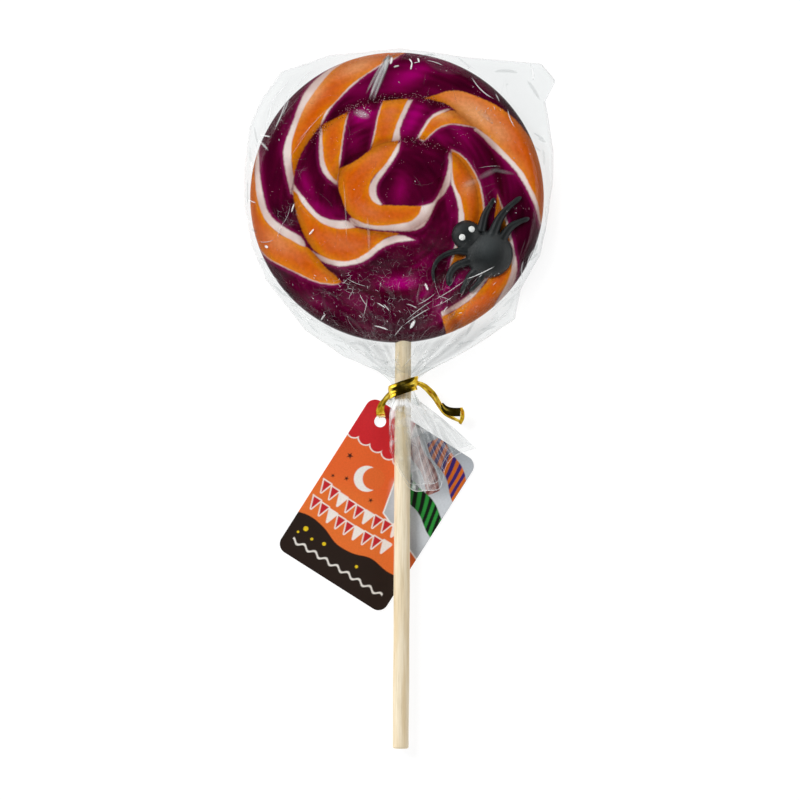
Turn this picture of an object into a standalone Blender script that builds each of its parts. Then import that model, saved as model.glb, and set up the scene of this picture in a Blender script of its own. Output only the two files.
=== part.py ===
# Wrapped spiral lollipop, lying face up: a flat disc of coiled rope candy on a dowel, with a
# sugar spider on its face, in a clear film bag that a gold twist tie closes, and a card tag.
# Metres, +Z up. The origin is the middle of the candy's flat back, and the stick runs along -Y.

import math

import bmesh
import bpy
import numpy as np
from mathutils import Matrix, Vector

MM = 0.001
GAP = 0.3 * MM                       # clear space between pieces that touch

# Candy: a thick rope of boiled sugar, coiled up and pressed flat
CANDY_RADIUS = 47.1 * MM
CANDY_OVAL = 0.3 * MM                # wider than long by this much on each side
CANDY_THICK = 9.2 * MM
FACE_ROUND = 4.0 * MM                # rounding of the rim towards the face
BACK_ROUND = 2.6 * MM
CANDY_SEGMENTS = 92
FACE_RINGS = 27

# The seam between the coils: its distance from the middle every eighth turn, clockwise from
# the inner end, which points to SEAM_START, out to the cut end of the rope
SEAM_START = math.radians(25)
SEAM_RADII = [r * MM for r in (
    15.5, 12.8, 11.4, 12.6, 16.5, 20.0, 17.8, 19.2, 24.0, 27.2,
    29.8, 31.8, 32.1, 33.8, 31.9, 33.0, 33.6, 34.2, 39.2)]
SEAM_DEPTH = 0.95 * MM
SEAM_WIDTH = 1.7 * MM

# Stick: a birch dowel let into the candy
STICK_RADIUS = 2.6 * MM
STICK_LENGTH = 150.0 * MM
STICK_TOP = -27.7 * MM               # y of its hidden end
STICK_X = 2.0 * MM                   # x where it leaves the candy
STICK_LEAN = math.radians(0.35)      # the candy sits a hair askew on it
STICK_Z = CANDY_THICK / 2

# Spider: a button of sugar paste, flat below
SPIDER_BASE = CANDY_THICK + GAP
BODY_CENTRE, BODY_RADIUS, BODY_HEIGHT = (29.5 * MM, -18.5 * MM), 7.2 * MM, 4.0 * MM
HEAD_CENTRE, HEAD_RADIUS, HEAD_HEIGHT = (22.3 * MM, -12.4 * MM), 4.5 * MM, 3.2 * MM
EYE_CENTRES, EYE_RADIUS = ((21.0 * MM, -12.9 * MM), (24.1 * MM, -10.6 * MM)), 1.1 * MM
# Each leg: its bends from the body outwards, and its width at the body and at the tip, in mm
LEGS = (
    ([(26.3, -11.5), (28.0, -6.0), (30.6, -0.8)], 2.2, 1.0),
    ([(29.5, -13.0), (31.8, -7.5), (35.0, -3.5), (39.0, -0.3)], 2.6, 1.2),
    ([(33.0, -14.0), (36.0, -10.0), (41.8, -7.3)], 2.0, 1.3),
    ([(24.0, -17.5), (18.0, -18.0), (13.0, -20.7), (12.0, -27.5)], 1.9, 0.9),
    ([(23.5, -19.8), (18.0, -23.3), (16.7, -28.5)], 2.0, 1.6),
    ([(26.0, -22.5), (22.5, -26.0), (20.0, -31.0)], 2.2, 1.3),
    ([(28.5, -23.5), (26.0, -27.0), (22.6, -30.6)], 2.0, 1.2),
)

# Bag: two sheets of film that meet outside the candy. Its edge, clockwise from the top, in mm:
# two square corners above, straight sides, and folds that run down to the neck.
BAG_EDGE = (
    (1.0, 48.2), (23.5, 45.2), (46.5, 43.2), (51.2, 37.6), (47.8, 31.0), (50.4, 15.3),
    (50.2, 4.0), (48.4, -8.2), (46.0, -18.9), (39.8, -29.8), (38.0, -39.3), (23.9, -48.6),
    (11.9, -55.0), (5.0, -57.4), (-2.0, -57.4), (-8.0, -55.2), (-17.4, -51.1), (-29.7, -42.7),
    (-42.3, -26.4), (-46.8, -16.0), (-49.4, -1.5), (-49.2, 10.0), (-47.6, 22.7), (-43.9, 31.5),
    (-37.4, 40.6), (-21.6, 46.0))
BAG_SEGMENTS = 96
BAG_RISE = 3.4 * MM                  # half its height where it leaves the candy's rim
BAG_LIP = 0.4 * MM                   # half its thickness at the edge
NECK_TOP, NECK_END = -56.0 * MM, -66.0 * MM
NECK_WIDE, NECK_HIGH = 4.1 * MM, 3.5 * MM    # half sizes of the gathered neck
# Tail of the bag below the neck: the hem's corners from left to right (x, y, z), in mm
HEM = ((-2.4, -81.5, 5.4), (1.4, -89.5, 8.0), (5.0, -94.4, 6.4), (9.6, -94.6, 3.6),
       (13.9, -93.7, 2.4), (15.8, -87.0, 2.6), (19.0, -83.2, 2.5), (25.5, -80.9, 2.4))
TAIL_THICK = 0.8 * MM
TAIL_PLEAT = 0.7 * MM
TAIL_OVER_STICK = STICK_RADIUS + GAP + TAIL_THICK / 2

# Twist tie: a foil ribbon, wound twice round the neck
TIE_WIDTH, TIE_THICK = 2.6 * MM, 0.4 * MM
TIE_PITCH = 3.0 * MM
TIE_MIDDLE = -61.4 * MM              # y of the winding's middle
TIE_START, TIE_SWEEP = math.radians(200), math.radians(530)

# Tag: a card with rounded corners, turned under the stick
TAG_WIDTH, TAG_LENGTH, TAG_THICK = 40.5 * MM, 58.0 * MM, 0.6 * MM
TAG_CORNER = Vector((-8.1 * MM, -63.9 * MM, 0))      # the corner beside the neck
TAG_TURN = math.radians(-32.4)
TAG_ROUND = 3.3 * MM
TAG_HOLE = (6.7 * MM, 5.6 * MM)      # from that corner, across and down the card
TAG_HOLE_RADIUS = 1.9 * MM
TAG_LIFT, TAG_LIFT_REACH = 0.9 * MM, 6.0 * MM        # the tie lifts the card at its hole
TAIL_OVER_TAG = TAG_THICK + TAG_LIFT + GAP + TAIL_THICK / 2


def clear_scene():
    for item in list(bpy.data.objects):
        bpy.data.objects.remove(item, do_unlink=True)


def make_collection(name):
    collection = bpy.data.collections.new(name)
    bpy.context.scene.collection.children.link(collection)
    return collection


def make_material(name, colour, roughness, metallic=0.0, alpha=1.0):
    material = bpy.data.materials.new(name)
    material.use_nodes = True
    shader = material.node_tree.nodes["Principled BSDF"]
    shader.inputs["Base Color"].default_value = (*colour, 1.0)
    shader.inputs["Roughness"].default_value = roughness
    shader.inputs["Metallic"].default_value = metallic
    shader.inputs["Alpha"].default_value = alpha
    material.diffuse_color = (*colour, alpha)
    return material


def add_object(name, mesh, collection, material=None):
    item = bpy.data.objects.new(name, mesh)
    collection.objects.link(item)
    if material:
        mesh.materials.clear()
        mesh.materials.append(material)
    return item


def mesh_from(bm, name):
    bmesh.ops.recalc_face_normals(bm, faces=bm.faces)
    mesh = bpy.data.meshes.new(name)
    bm.to_mesh(mesh)
    bm.free()
    return mesh


def as_mesh(item, name):
    # The object as the viewport shows it, with its modifiers applied and its doubles welded
    graph = bpy.context.evaluated_depsgraph_get()
    mesh = bpy.data.meshes.new_from_object(item.evaluated_get(graph))
    mesh.transform(item.matrix_world)
    bm = bmesh.new()
    bm.from_mesh(mesh)
    bmesh.ops.remove_doubles(bm, verts=bm.verts, dist=0.002 * MM)
    collection = item.users_collection[0]
    bpy.data.objects.remove(item, do_unlink=True)
    return add_object(name, mesh_from(bm, name), collection)


def raise_by(height):
    return Matrix.Translation((0, 0, height))


def hide(item):
    item.hide_render = True
    item.display_type = "WIRE"
    return item


def boolean(item, operation, cutter, solver="EXACT"):
    modifier = item.modifiers.new(operation.title(), "BOOLEAN")
    modifier.operation = operation
    modifier.solver = solver
    if isinstance(cutter, bpy.types.Collection):
        modifier.operand_type = "COLLECTION"
        modifier.collection = cutter
    else:
        modifier.object = hide(cutter)


def cylinder(name, radius, start, end, collection, segments=24):
    # A rod between two points
    start, end = Vector(start), Vector(end)
    bm = bmesh.new()
    bmesh.ops.create_cone(bm, cap_ends=True, segments=segments, radius1=radius, radius2=radius,
                          depth=(end - start).length)
    mesh = mesh_from(bm, name)
    item = add_object(name, mesh, collection)
    item.rotation_mode = "QUATERNION"
    item.rotation_quaternion = (end - start).to_track_quat("Z", "Y")
    item.location = (start + end) / 2
    return item


def smooth_curve(points, steps):
    # Catmull-Rom curve through the points, with so many steps from one to the next
    points = [Vector(p) for p in points]
    ends = [points[0] * 2 - points[1]] + points + [points[-1] * 2 - points[-2]]
    curve = []
    for a, b, c, d in zip(ends, ends[1:], ends[2:], ends[3:]):
        for i in range(steps):
            t = i / steps
            curve.append((b * 2 + (c - a) * t + (a * 2 - b * 5 + c * 4 - d) * t ** 2
                          + (b * 3 - a - c * 3 + d) * t ** 3) / 2)
    return curve + [points[-1]]


def soft_max(a, b):
    # The larger of two heights, with the corner between them rounded
    return (a + b + math.sqrt((a - b) ** 2 + (0.6 * MM) ** 2)) / 2


def rim_radius(angle):
    return CANDY_RADIUS + CANDY_OVAL * math.cos(2 * angle)


def stick_x(y):
    return STICK_X + (y + CANDY_RADIUS) * math.tan(STICK_LEAN)


# Candy

def seam_crossings(angle):
    # Distances from the middle at which the seam crosses a ray, one for each turn
    step = math.radians(45)
    along = ((SEAM_START - angle) % (2 * math.pi)) / step
    knots = np.arange(len(SEAM_RADII))
    found = []
    while along <= len(SEAM_RADII) - 1:
        found.append((float(np.interp(along, knots, SEAM_RADII)), along))
        along += 8
    return found


def seam_groove(radius, angle):
    # Depth below the crowns of the coils: a pinched groove along the seam, which fades in from
    # the inner end, and the crack at the rope's cut end
    depth = 0.0
    for seam, along in seam_crossings(angle):
        fade = min(1.0, along / 3)
        depth = max(depth, fade * SEAM_DEPTH * math.exp(-abs(radius - seam) / SEAM_WIDTH))
    cut_angle = SEAM_START - (len(SEAM_RADII) - 1) * math.radians(45)
    across = abs(math.sin(angle - cut_angle)) * radius
    if radius > SEAM_RADII[-1] and math.cos(angle - cut_angle) > 0:
        depth = max(depth, SEAM_DEPTH * math.exp(-across / SEAM_WIDTH))
    return depth


def candy_profile():
    # Half section from the middle of the face, over the rim, to the middle of the back
    flat = CANDY_RADIUS - FACE_ROUND
    points = [(flat * i / FACE_RINGS, CANDY_THICK) for i in range(FACE_RINGS)]
    for i in range(6):
        turn = math.radians(90 - 18 * i)
        points.append((flat + FACE_ROUND * math.cos(turn),
                       CANDY_THICK - FACE_ROUND + FACE_ROUND * math.sin(turn)))
    for i in range(4):
        turn = math.radians(-30 * i)
        points.append((CANDY_RADIUS - BACK_ROUND + BACK_ROUND * math.cos(turn),
                       BACK_ROUND + BACK_ROUND * math.sin(turn)))
    return points + [(0.0, 0.0)]


def make_candy(parts, cutters):
    points = candy_profile()
    mesh = bpy.data.meshes.new("candy_profile")
    mesh.from_pydata([(x, 0, z) for x, z in points], [(i, i + 1) for i in range(len(points) - 1)], [])
    turned = add_object("candy_profile", mesh, parts)
    screw = turned.modifiers.new("Turn", "SCREW")
    screw.steps = screw.render_steps = CANDY_SEGMENTS
    screw.use_merge_vertices = True
    screw.merge_threshold = 0.01 * MM
    candy = as_mesh(turned, "candy")
    for vertex in candy.data.vertices:
        x, y, z = vertex.co
        radius, angle = math.hypot(x, y), math.atan2(y, x)
        stretch = rim_radius(angle) / CANDY_RADIUS
        facing = min(1.0, max(0.0, (z - BACK_ROUND) / (CANDY_THICK - FACE_ROUND - BACK_ROUND)))
        drop = seam_groove(radius * stretch, angle) * facing
        vertex.co = (x * stretch, y * stretch, z - drop)
    candy.data.materials.append(make_material("boiled_sugar", (0.25, 0.01, 0.08), 0.2))
    bore = cylinder("candy_bore", STICK_RADIUS + GAP, (stick_x(STICK_TOP), STICK_TOP + GAP, STICK_Z),
                    (stick_x(-60 * MM), -60 * MM, STICK_Z), cutters)
    boolean(candy, "DIFFERENCE", bore)
    candy.data.shade_smooth()
    return candy


# Stick

def make_stick(parts):
    end = STICK_TOP - STICK_LENGTH
    stick = cylinder("stick", STICK_RADIUS, (stick_x(end), end, STICK_Z),
                     (stick_x(STICK_TOP), STICK_TOP, STICK_Z), parts, segments=28)
    stick.data.materials.append(make_material("birch", (0.75, 0.6, 0.42), 0.65))
    chamfer = stick.modifiers.new("Chamfer", "BEVEL")
    chamfer.width = 0.4 * MM
    chamfer.segments = 1
    chamfer.limit_method = "ANGLE"
    chamfer.angle_limit = math.radians(60)
    return stick


# Spider

def dome(name, centre, radius, height, collection, segments=20, rings=12):
    # A flattened ball round the spider's base plane, so that half of it stands above
    bm = bmesh.new()
    bmesh.ops.create_uvsphere(bm, u_segments=segments, v_segments=rings, radius=1.0)
    for vertex in bm.verts:
        vertex.co = (centre[0] + vertex.co.x * radius, centre[1] + vertex.co.y * radius,
                     SPIDER_BASE + vertex.co.z * height)
    return add_object(name, mesh_from(bm, name), collection)


def leg(name, bends, width, tip, collection):
    # A tapered thread of paste through its bends
    route = smooth_curve([(x * MM, y * MM, 0) for x, y in bends], 3)
    curve = bpy.data.curves.new(name, "CURVE")
    curve.dimensions = "3D"
    curve.bevel_depth = 1.0
    curve.bevel_resolution = 2
    curve.use_fill_caps = True
    spline = curve.splines.new("POLY")
    spline.points.add(len(route) - 1)
    for i, point in enumerate(route):
        share = i / (len(route) - 1)
        half = (width + (tip - width) * share) * MM / 2
        spline.points[i].co = (point.x, point.y, SPIDER_BASE + 0.4 * half, 1)
        spline.points[i].radius = half
    item = add_object(name, curve, collection)
    bpy.context.view_layer.update()
    return as_mesh(item, name)


def make_spider(parts, cutters):
    pieces = make_collection("spider_pieces")
    spider = dome("spider", BODY_CENTRE, BODY_RADIUS, BODY_HEIGHT, parts)
    dome("head", HEAD_CENTRE, HEAD_RADIUS, HEAD_HEIGHT, pieces, 18, 10)
    for i, (bends, width, tip) in enumerate(LEGS):
        leg(f"leg_{i + 1}", bends, width, tip, pieces)
    for i, (x, y) in enumerate(EYE_CENTRES):
        away = math.hypot(x - HEAD_CENTRE[0], y - HEAD_CENTRE[1]) / HEAD_RADIUS
        eye = dome(f"eye_{i + 1}", (x, y), EYE_RADIUS, 0.7 * MM, pieces, 10, 6)
        eye.data.transform(raise_by(HEAD_HEIGHT * math.sqrt(1 - away ** 2)))
    boolean(spider, "UNION", pieces)
    bpy.context.view_layer.update()
    spider = as_mesh(spider, "spider")
    for item in list(pieces.objects):
        bpy.data.objects.remove(item, do_unlink=True)
    bpy.data.collections.remove(pieces)
    spider.data.materials.append(make_material("sugar_paste", (0.03, 0.03, 0.03), 0.7))
    bm = bmesh.new()
    bmesh.ops.create_cube(bm, size=1.0)
    for vertex in bm.verts:
        vertex.co = (BODY_CENTRE[0] + vertex.co.x * 60 * MM, BODY_CENTRE[1] + vertex.co.y * 60 * MM,
                     SPIDER_BASE + (vertex.co.z - 0.5) * 10 * MM)
    base = add_object("spider_base_cut", mesh_from(bm, "spider_base_cut"), cutters)
    boolean(spider, "DIFFERENCE", base)
    spider.data.shade_smooth()
    return spider


# Bag

def bag_radius(angle):
    # The bag's edge along a ray from the candy's middle, never inside the lip round the rim
    edge = [(x * MM, y * MM) for x, y in BAG_EDGE]
    ray = (math.cos(angle), math.sin(angle))
    best = 0.0
    for (ax, ay), (bx, by) in zip(edge, edge[1:] + edge[:1]):
        a, b = ray[0] * ay - ray[1] * ax, ray[0] * by - ray[1] * bx
        if (a < 0) != (b < 0):
            share = a / (a - b)
            reach = ray[0] * (ax + share * (bx - ax)) + ray[1] * (ay + share * (by - ay))
            best = max(best, reach)
    return max(best, rim_radius(angle) + GAP + 0.7 * MM)


def make_margin(collection):
    # The ring of bag outside the candy, wedge-shaped across and full height at the neck
    neck_angle = math.atan2(NECK_TOP, STICK_X)
    verts = []
    for i in range(BAG_SEGMENTS):
        angle = 2 * math.pi * i / BAG_SEGMENTS
        inner, outer = rim_radius(angle) + GAP, bag_radius(angle)
        off = (angle - neck_angle + math.pi) % (2 * math.pi) - math.pi
        gather = math.exp(-(off / math.radians(6)) ** 2)
        lip = BAG_LIP + (NECK_HIGH - 0.3 * MM - BAG_LIP) * gather
        rise = min(BAG_RISE, max(lip, BAG_LIP + (outer - inner) * 0.8))
        for radius, z in ((inner, rise), (outer, lip), (outer, -lip), (inner, -rise)):
            verts.append((radius * math.cos(angle), radius * math.sin(angle), STICK_Z + z))
    faces = []
    for i in range(BAG_SEGMENTS):
        here, following = 4 * i, 4 * ((i + 1) % BAG_SEGMENTS)
        for k in range(4):
            after = (k + 1) % 4
            faces.append((here + k, here + after, following + after, following + k))
    mesh = bpy.data.meshes.new("wrapper")
    mesh.from_pydata(verts, [], faces)
    bm = bmesh.new()
    bm.from_mesh(mesh)
    return add_object("wrapper", mesh_from(bm, "wrapper"), collection)


def make_neck(collection):
    neck = cylinder("neck", 1.0, (0, 0, 0), (0, 0, NECK_TOP - NECK_END), collection, 20)
    for vertex in neck.data.vertices:
        along = 0.5 + vertex.co.z / (NECK_TOP - NECK_END)
        y = NECK_END + (NECK_TOP - NECK_END) * along
        vertex.co = (stick_x(y) + vertex.co.x * NECK_WIDE, y, STICK_Z + vertex.co.y * NECK_HIGH)
    neck.matrix_basis.identity()
    bm = bmesh.new()
    bm.from_mesh(neck.data)
    bmesh.ops.recalc_face_normals(bm, faces=bm.faces)
    bm.to_mesh(neck.data)
    bm.free()
    return neck


def make_tail(collection):
    # The end of the bag: it comes out of the neck over the stick and fans out across the tag
    columns, rows = 22, 12
    hem = smooth_curve([(x * MM, y * MM, z * MM) for x, y, z in HEM], 8)
    bm = bmesh.new()
    bmesh.ops.create_grid(bm, x_segments=columns, y_segments=rows, size=1.0)
    for vertex in bm.verts:
        across, down = (vertex.co.x + 1) / 2, (1 - vertex.co.y) / 2
        start_y = NECK_END + 1.2 * MM
        turn = math.radians(200 - 215 * across)
        start = Vector((stick_x(start_y) + 3.4 * MM * math.cos(turn), start_y,
                        STICK_Z + 3.2 * MM * math.sin(turn)))
        end = hem[min(len(hem) - 1, round(across * (len(hem) - 1)))]
        point = start.lerp(end, down)
        pleat = TAIL_PLEAT * math.sin(across * 7 * math.pi) * math.sin(down * math.pi / 2)
        off = min(1.0, abs(point.x - stick_x(point.y)) / (2 * TAIL_OVER_STICK))
        over_stick = STICK_Z + (TAIL_OVER_STICK + 0.5 * MM) * 0.5 * (1 + math.cos(off * math.pi))
        over_tag = TAIL_OVER_TAG * min(1.0, down / 0.3)
        point.z = soft_max(soft_max(point.z + pleat, over_stick), over_tag)
        vertex.co = point
    tail = add_object("tail", mesh_from(bm, "tail"), collection)
    shell = tail.modifiers.new("Film", "SOLIDIFY")
    shell.thickness = TAIL_THICK
    shell.offset = 0
    bpy.context.view_layer.update()
    return as_mesh(tail, "tail")


def make_wrapper(parts, cutters):
    pieces = make_collection("wrapper_pieces")
    wrapper = make_margin(parts)
    make_neck(pieces)
    make_tail(pieces)
    boolean(wrapper, "UNION", pieces, "MANIFOLD")
    bpy.context.view_layer.update()
    wrapper = as_mesh(wrapper, "wrapper")
    for item in list(pieces.objects):
        bpy.data.objects.remove(item, do_unlink=True)
    bpy.data.collections.remove(pieces)
    wrapper.data.materials.append(make_material("clear_film", (0.9, 0.9, 0.92), 0.1, alpha=0.3))
    room = cylinder("stick_room", STICK_RADIUS + GAP, (stick_x(-40 * MM), -40 * MM, STICK_Z),
                    (stick_x(-100 * MM), -100 * MM, STICK_Z), cutters)
    boolean(wrapper, "DIFFERENCE", room)
    return wrapper


# Twist tie

def ribbon(name, route, widths, normals, collection):
    # A flat strip lofted through its middle line, with a width and a facing at each point
    bm = bmesh.new()
    rings = []
    for i, point in enumerate(route):
        ahead = route[min(i + 1, len(route) - 1)] - route[max(i - 1, 0)]
        across = ahead.cross(normals[i]).normalized()
        facing = across.cross(ahead).normalized()
        corners = ((0.5, 0.5), (0.5, -0.5), (-0.5, -0.5), (-0.5, 0.5))
        rings.append([bm.verts.new(point + across * a * widths[i] + facing * b * TIE_THICK)
                      for a, b in corners])
    for ring, following in zip(rings, rings[1:]):
        for k in range(4):
            after = (k + 1) % 4
            bm.faces.new((ring[k], ring[after], following[after], following[k]))
    bm.faces.new(rings[0])
    bm.faces.new(reversed(rings[-1]))
    return add_object(name, mesh_from(bm, name), collection)


def make_twist_tie(parts):
    # Left tail, out of the tag's hole; then the winding; then the right tail with its curl
    left = [(-5.3, -72.3, 0.4), (-5.4, -71.4, 2.9), (-5.6, -69.6, 4.2), (-5.0, -66.8, 4.9),
            (-4.2, -64.8, 4.7)]
    right = [(8.2, -60.6, 5.6), (10.6, -61.3, 6.0), (13.2, -64.2, 5.6), (15.6, -68.2, 4.8),
             (18.2, -70.0, 4.4), (20.6, -69.2, 4.6), (20.8, -72.6, 4.2)]
    winding = []
    facing = []
    steps = 34
    climb = TIE_PITCH * TIE_SWEEP / (2 * math.pi)
    out = GAP + TIE_THICK / 2
    for i in range(steps + 1):
        turn = TIE_START - TIE_SWEEP * i / steps
        y = TIE_MIDDLE + climb * (i / steps - 0.5)
        winding.append(Vector((stick_x(y) + (NECK_WIDE + out) * math.cos(turn), y,
                               STICK_Z + (NECK_HIGH + out) * math.sin(turn))))
        facing.append(Vector((math.cos(turn), 0, math.sin(turn))))
    head = smooth_curve([Vector(p) * MM for p in left], 4)
    tail = smooth_curve([Vector(p) * MM for p in right], 4)
    route = head + winding + tail
    upright = Vector((-0.5, 0, 0.85)).normalized()
    normals = [upright] * len(head) + facing + [Vector((0.3, 0.2, 0.9))] * len(tail)
    twisted = 1.5 * MM               # the strip is rolled up where it goes through the hole
    widths = list(np.linspace(twisted, TIE_WIDTH, len(head))) + [TIE_WIDTH] * (len(winding) + len(tail))
    tie = ribbon("twist_tie", route, widths, normals, parts)
    tie.data.materials.append(make_material("gold_foil", (0.6, 0.4, 0.08), 0.25, 1.0))
    return tie


# Tag

def make_tag(parts, cutters):
    columns, rows = 16, 22
    along = Vector((math.cos(TAG_TURN), math.sin(TAG_TURN), 0))
    down = Vector((math.sin(TAG_TURN), -math.cos(TAG_TURN), 0))
    hole = TAG_CORNER + along * TAG_HOLE[0] + down * TAG_HOLE[1]
    bm = bmesh.new()
    bmesh.ops.create_grid(bm, x_segments=columns, y_segments=rows, size=1.0)
    reach = 1.03                     # a little past the card, which is then trimmed to its outline
    for vertex in bm.verts:
        across = 0.5 + vertex.co.x * reach / 2
        below = 0.5 - vertex.co.y * reach / 2
        point = TAG_CORNER + along * TAG_WIDTH * across + down * TAG_LENGTH * below
        away = (point - hole).length
        point.z = TAG_LIFT * math.exp(-(away / TAG_LIFT_REACH) ** 2)
        vertex.co = point
    tag = add_object("tag", mesh_from(bm, "tag"), parts)
    card = tag.modifiers.new("Card", "SOLIDIFY")
    card.thickness = TAG_THICK
    card.offset = 1
    bpy.context.view_layer.update()
    tag = as_mesh(tag, "tag")
    low = min(v.co.z for v in tag.data.vertices)
    tag.data.transform(raise_by(-low))
    tag.data.materials.append(make_material("printed_card", (0.7, 0.15, 0.05), 0.5))
    boolean(tag, "INTERSECT", tag_outline(along, down, cutters))
    depth = Vector((0, 0, 5 * MM))
    boolean(tag, "DIFFERENCE", cylinder("tag_hole", TAG_HOLE_RADIUS, hole - depth, hole + depth, cutters))
    return tag


def tag_outline(along, down, cutters):
    # A prism over the card's rounded rectangle
    outline = bpy.data.curves.new("tag_outline", "CURVE")
    outline.dimensions = "2D"
    outline.fill_mode = "BOTH"
    outline.extrude = 5 * MM
    far_across, far_down = TAG_WIDTH - TAG_ROUND, TAG_LENGTH - TAG_ROUND
    corners = []
    for across, below, first in ((far_across, TAG_ROUND, 90), (far_across, far_down, 0),
                                 (TAG_ROUND, far_down, -90), (TAG_ROUND, TAG_ROUND, -180)):
        for k in range(6):
            turn = math.radians(first - 18 * k)
            corners.append(TAG_CORNER + along * (across + TAG_ROUND * math.cos(turn))
                           + down * (below - TAG_ROUND * math.sin(turn)))
    spline = outline.splines.new("POLY")
    spline.points.add(len(corners) - 1)
    for point, corner in zip(spline.points, corners):
        point.co = (corner.x, corner.y, 0, 1)
    spline.use_cyclic_u = True
    trim = add_object("tag_outline", outline, cutters)
    bpy.context.view_layer.update()
    return as_mesh(trim, "tag_outline")


def main():
    clear_scene()
    parts = make_collection("lollipop")
    cutters = make_collection("cutters")
    make_candy(parts, cutters)
    make_stick(parts)
    make_spider(parts, cutters)
    make_wrapper(parts, cutters)
    make_twist_tie(parts)
    make_tag(parts, cutters)


main()
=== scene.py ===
import math
from functools import partial
import bpy
import numpy as np
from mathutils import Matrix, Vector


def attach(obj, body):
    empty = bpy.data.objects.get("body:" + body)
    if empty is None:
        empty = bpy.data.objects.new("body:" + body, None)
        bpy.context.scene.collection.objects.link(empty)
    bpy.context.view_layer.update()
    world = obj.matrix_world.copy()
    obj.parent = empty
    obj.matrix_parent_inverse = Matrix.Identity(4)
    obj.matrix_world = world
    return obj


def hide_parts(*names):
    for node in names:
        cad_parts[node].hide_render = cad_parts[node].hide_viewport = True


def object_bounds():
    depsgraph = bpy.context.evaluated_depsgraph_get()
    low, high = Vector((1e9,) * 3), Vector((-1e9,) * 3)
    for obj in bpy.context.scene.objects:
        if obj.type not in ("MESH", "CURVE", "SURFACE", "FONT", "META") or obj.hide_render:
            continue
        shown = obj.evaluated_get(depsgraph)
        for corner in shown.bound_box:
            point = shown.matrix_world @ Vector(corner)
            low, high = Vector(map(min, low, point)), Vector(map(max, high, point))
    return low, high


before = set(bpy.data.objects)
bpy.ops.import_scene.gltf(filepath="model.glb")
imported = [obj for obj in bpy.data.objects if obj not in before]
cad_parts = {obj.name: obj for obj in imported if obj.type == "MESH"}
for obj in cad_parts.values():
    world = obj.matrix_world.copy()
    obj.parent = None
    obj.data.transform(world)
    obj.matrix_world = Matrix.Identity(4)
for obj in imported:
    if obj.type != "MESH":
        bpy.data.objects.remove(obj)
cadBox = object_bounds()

# Wrapped spiral lollipop seen from straight above: coiled rope candy with a sugar spider,
# in a clear cellophane bag with a gold twist tie and a printed hang tag, on a birch stick.
# Shapes are worked out in millimetres and turned to metres when a mesh is made.

mm = 0.001


# Small tools

def linear(colour):
    # sRGB hex to the linear values that shaders take; numbers stay as they are
    if not isinstance(colour, str):
        return colour
    parts = [int(colour[i:i + 2], 16) / 255 for i in (1, 3, 5)]
    return tuple(c / 12.92 if c <= 0.04045 else ((c + 0.055) / 1.055) ** 2.4 for c in parts) + (1.0,)


def newMaterial(name):
    # A material, and the function that adds a node to it
    material = bpy.data.materials.new(name)
    material.use_nodes = True
    material.node_tree.nodes.clear()
    return material, partial(addNode, material.node_tree)


def addNode(tree, kind, inputs=(), **settings):
    # A node with its settings. Inputs go by name, or in the order of the sockets in use; a node or
    # a socket that is given is linked, and a hex colour is made linear. Every Mix here is of colours
    node = tree.nodes.new("ShaderNode" + kind)
    if kind == "Mix":
        node.data_type = "RGBA"
    for name, value in settings.items():
        if name == "stops":
            ramp = node.color_ramp
            while len(ramp.elements) < len(value):
                ramp.elements.new(0.5)
            for element, (place, colour) in zip(ramp.elements, value):
                element.position, element.color = place, linear(colour)
        else:
            setattr(node, name, value)
    if not isinstance(inputs, (tuple, dict)):
        inputs = (inputs,)
    if isinstance(inputs, dict):
        pairs = [(node.inputs[name], value) for name, value in inputs.items()]
    else:
        pairs = zip([socket for socket in node.inputs if socket.enabled], inputs)
    for socket, value in pairs:
        if isinstance(value, bpy.types.Node):
            value = next(output for output in value.outputs if output.enabled)
        if isinstance(value, bpy.types.NodeSocket):
            tree.links.new(value, socket)
        else:
            socket.default_value = linear(value)
    return node


def meshPiece(name, points, faces, material):
    # points in mm, n x 3; faces a list of index arrays, one for each number of corners
    mesh = bpy.data.meshes.new(name)
    mesh.vertices.add(len(points))
    mesh.vertices.foreach_set("co", (np.asarray(points) * mm).astype(np.float32).ravel())
    corners = np.concatenate([f.ravel() for f in faces]).astype(np.int32)
    counts = np.concatenate([np.full(len(f), f.shape[1]) for f in faces])
    mesh.loops.add(len(corners))
    mesh.loops.foreach_set("vertex_index", corners)
    mesh.polygons.add(len(counts))
    mesh.polygons.foreach_set("loop_start", (np.cumsum(counts) - counts).astype(np.int32))
    mesh.update(calc_edges=True)
    mesh.validate()
    mesh.shade_smooth()
    mesh.materials.append(material)
    piece = bpy.data.objects.new(name, mesh)
    bpy.context.scene.collection.objects.link(piece)
    return piece


def gridPoints(x, y, z):
    # Rows x columns x 3 from coordinates that may each lack a direction
    return np.stack(np.broadcast_arrays(x, y, z), -1)


def gridFaces(rows, cols, closed=False):
    # Quads between the points of a grid of rows x cols; closed joins the last column to the first
    col = np.arange(cols if closed else cols - 1)
    after = (col + 1) % cols
    row = np.arange(rows - 1)[:, None] * cols
    return np.stack([row + col, row + after, row + cols + after, row + cols + col], -1).reshape(-1, 4)


def fanFaces(ring, centre):
    # Triangles from a ring of points to one in its middle
    return np.stack([np.full(len(ring), centre), np.roll(ring, -1), ring], -1)


def closedTube(rings, first, last, turned=False):
    # Skin over rings of points, with a fan to a middle point at either end. Turned is for rings that go
    # the other way round, so that the faces look outwards
    rows, cols = rings.shape[:2]
    ring = np.arange(cols)
    faces = [gridFaces(rows, cols, closed=True), fanFaces(ring, rows * cols),
             fanFaces(ring + (rows - 1) * cols, rows * cols + 1)[:, ::-1]]
    return np.vstack([rings.reshape(-1, 3), first, last]), [f[:, ::-1] for f in faces] if turned else faces


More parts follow.
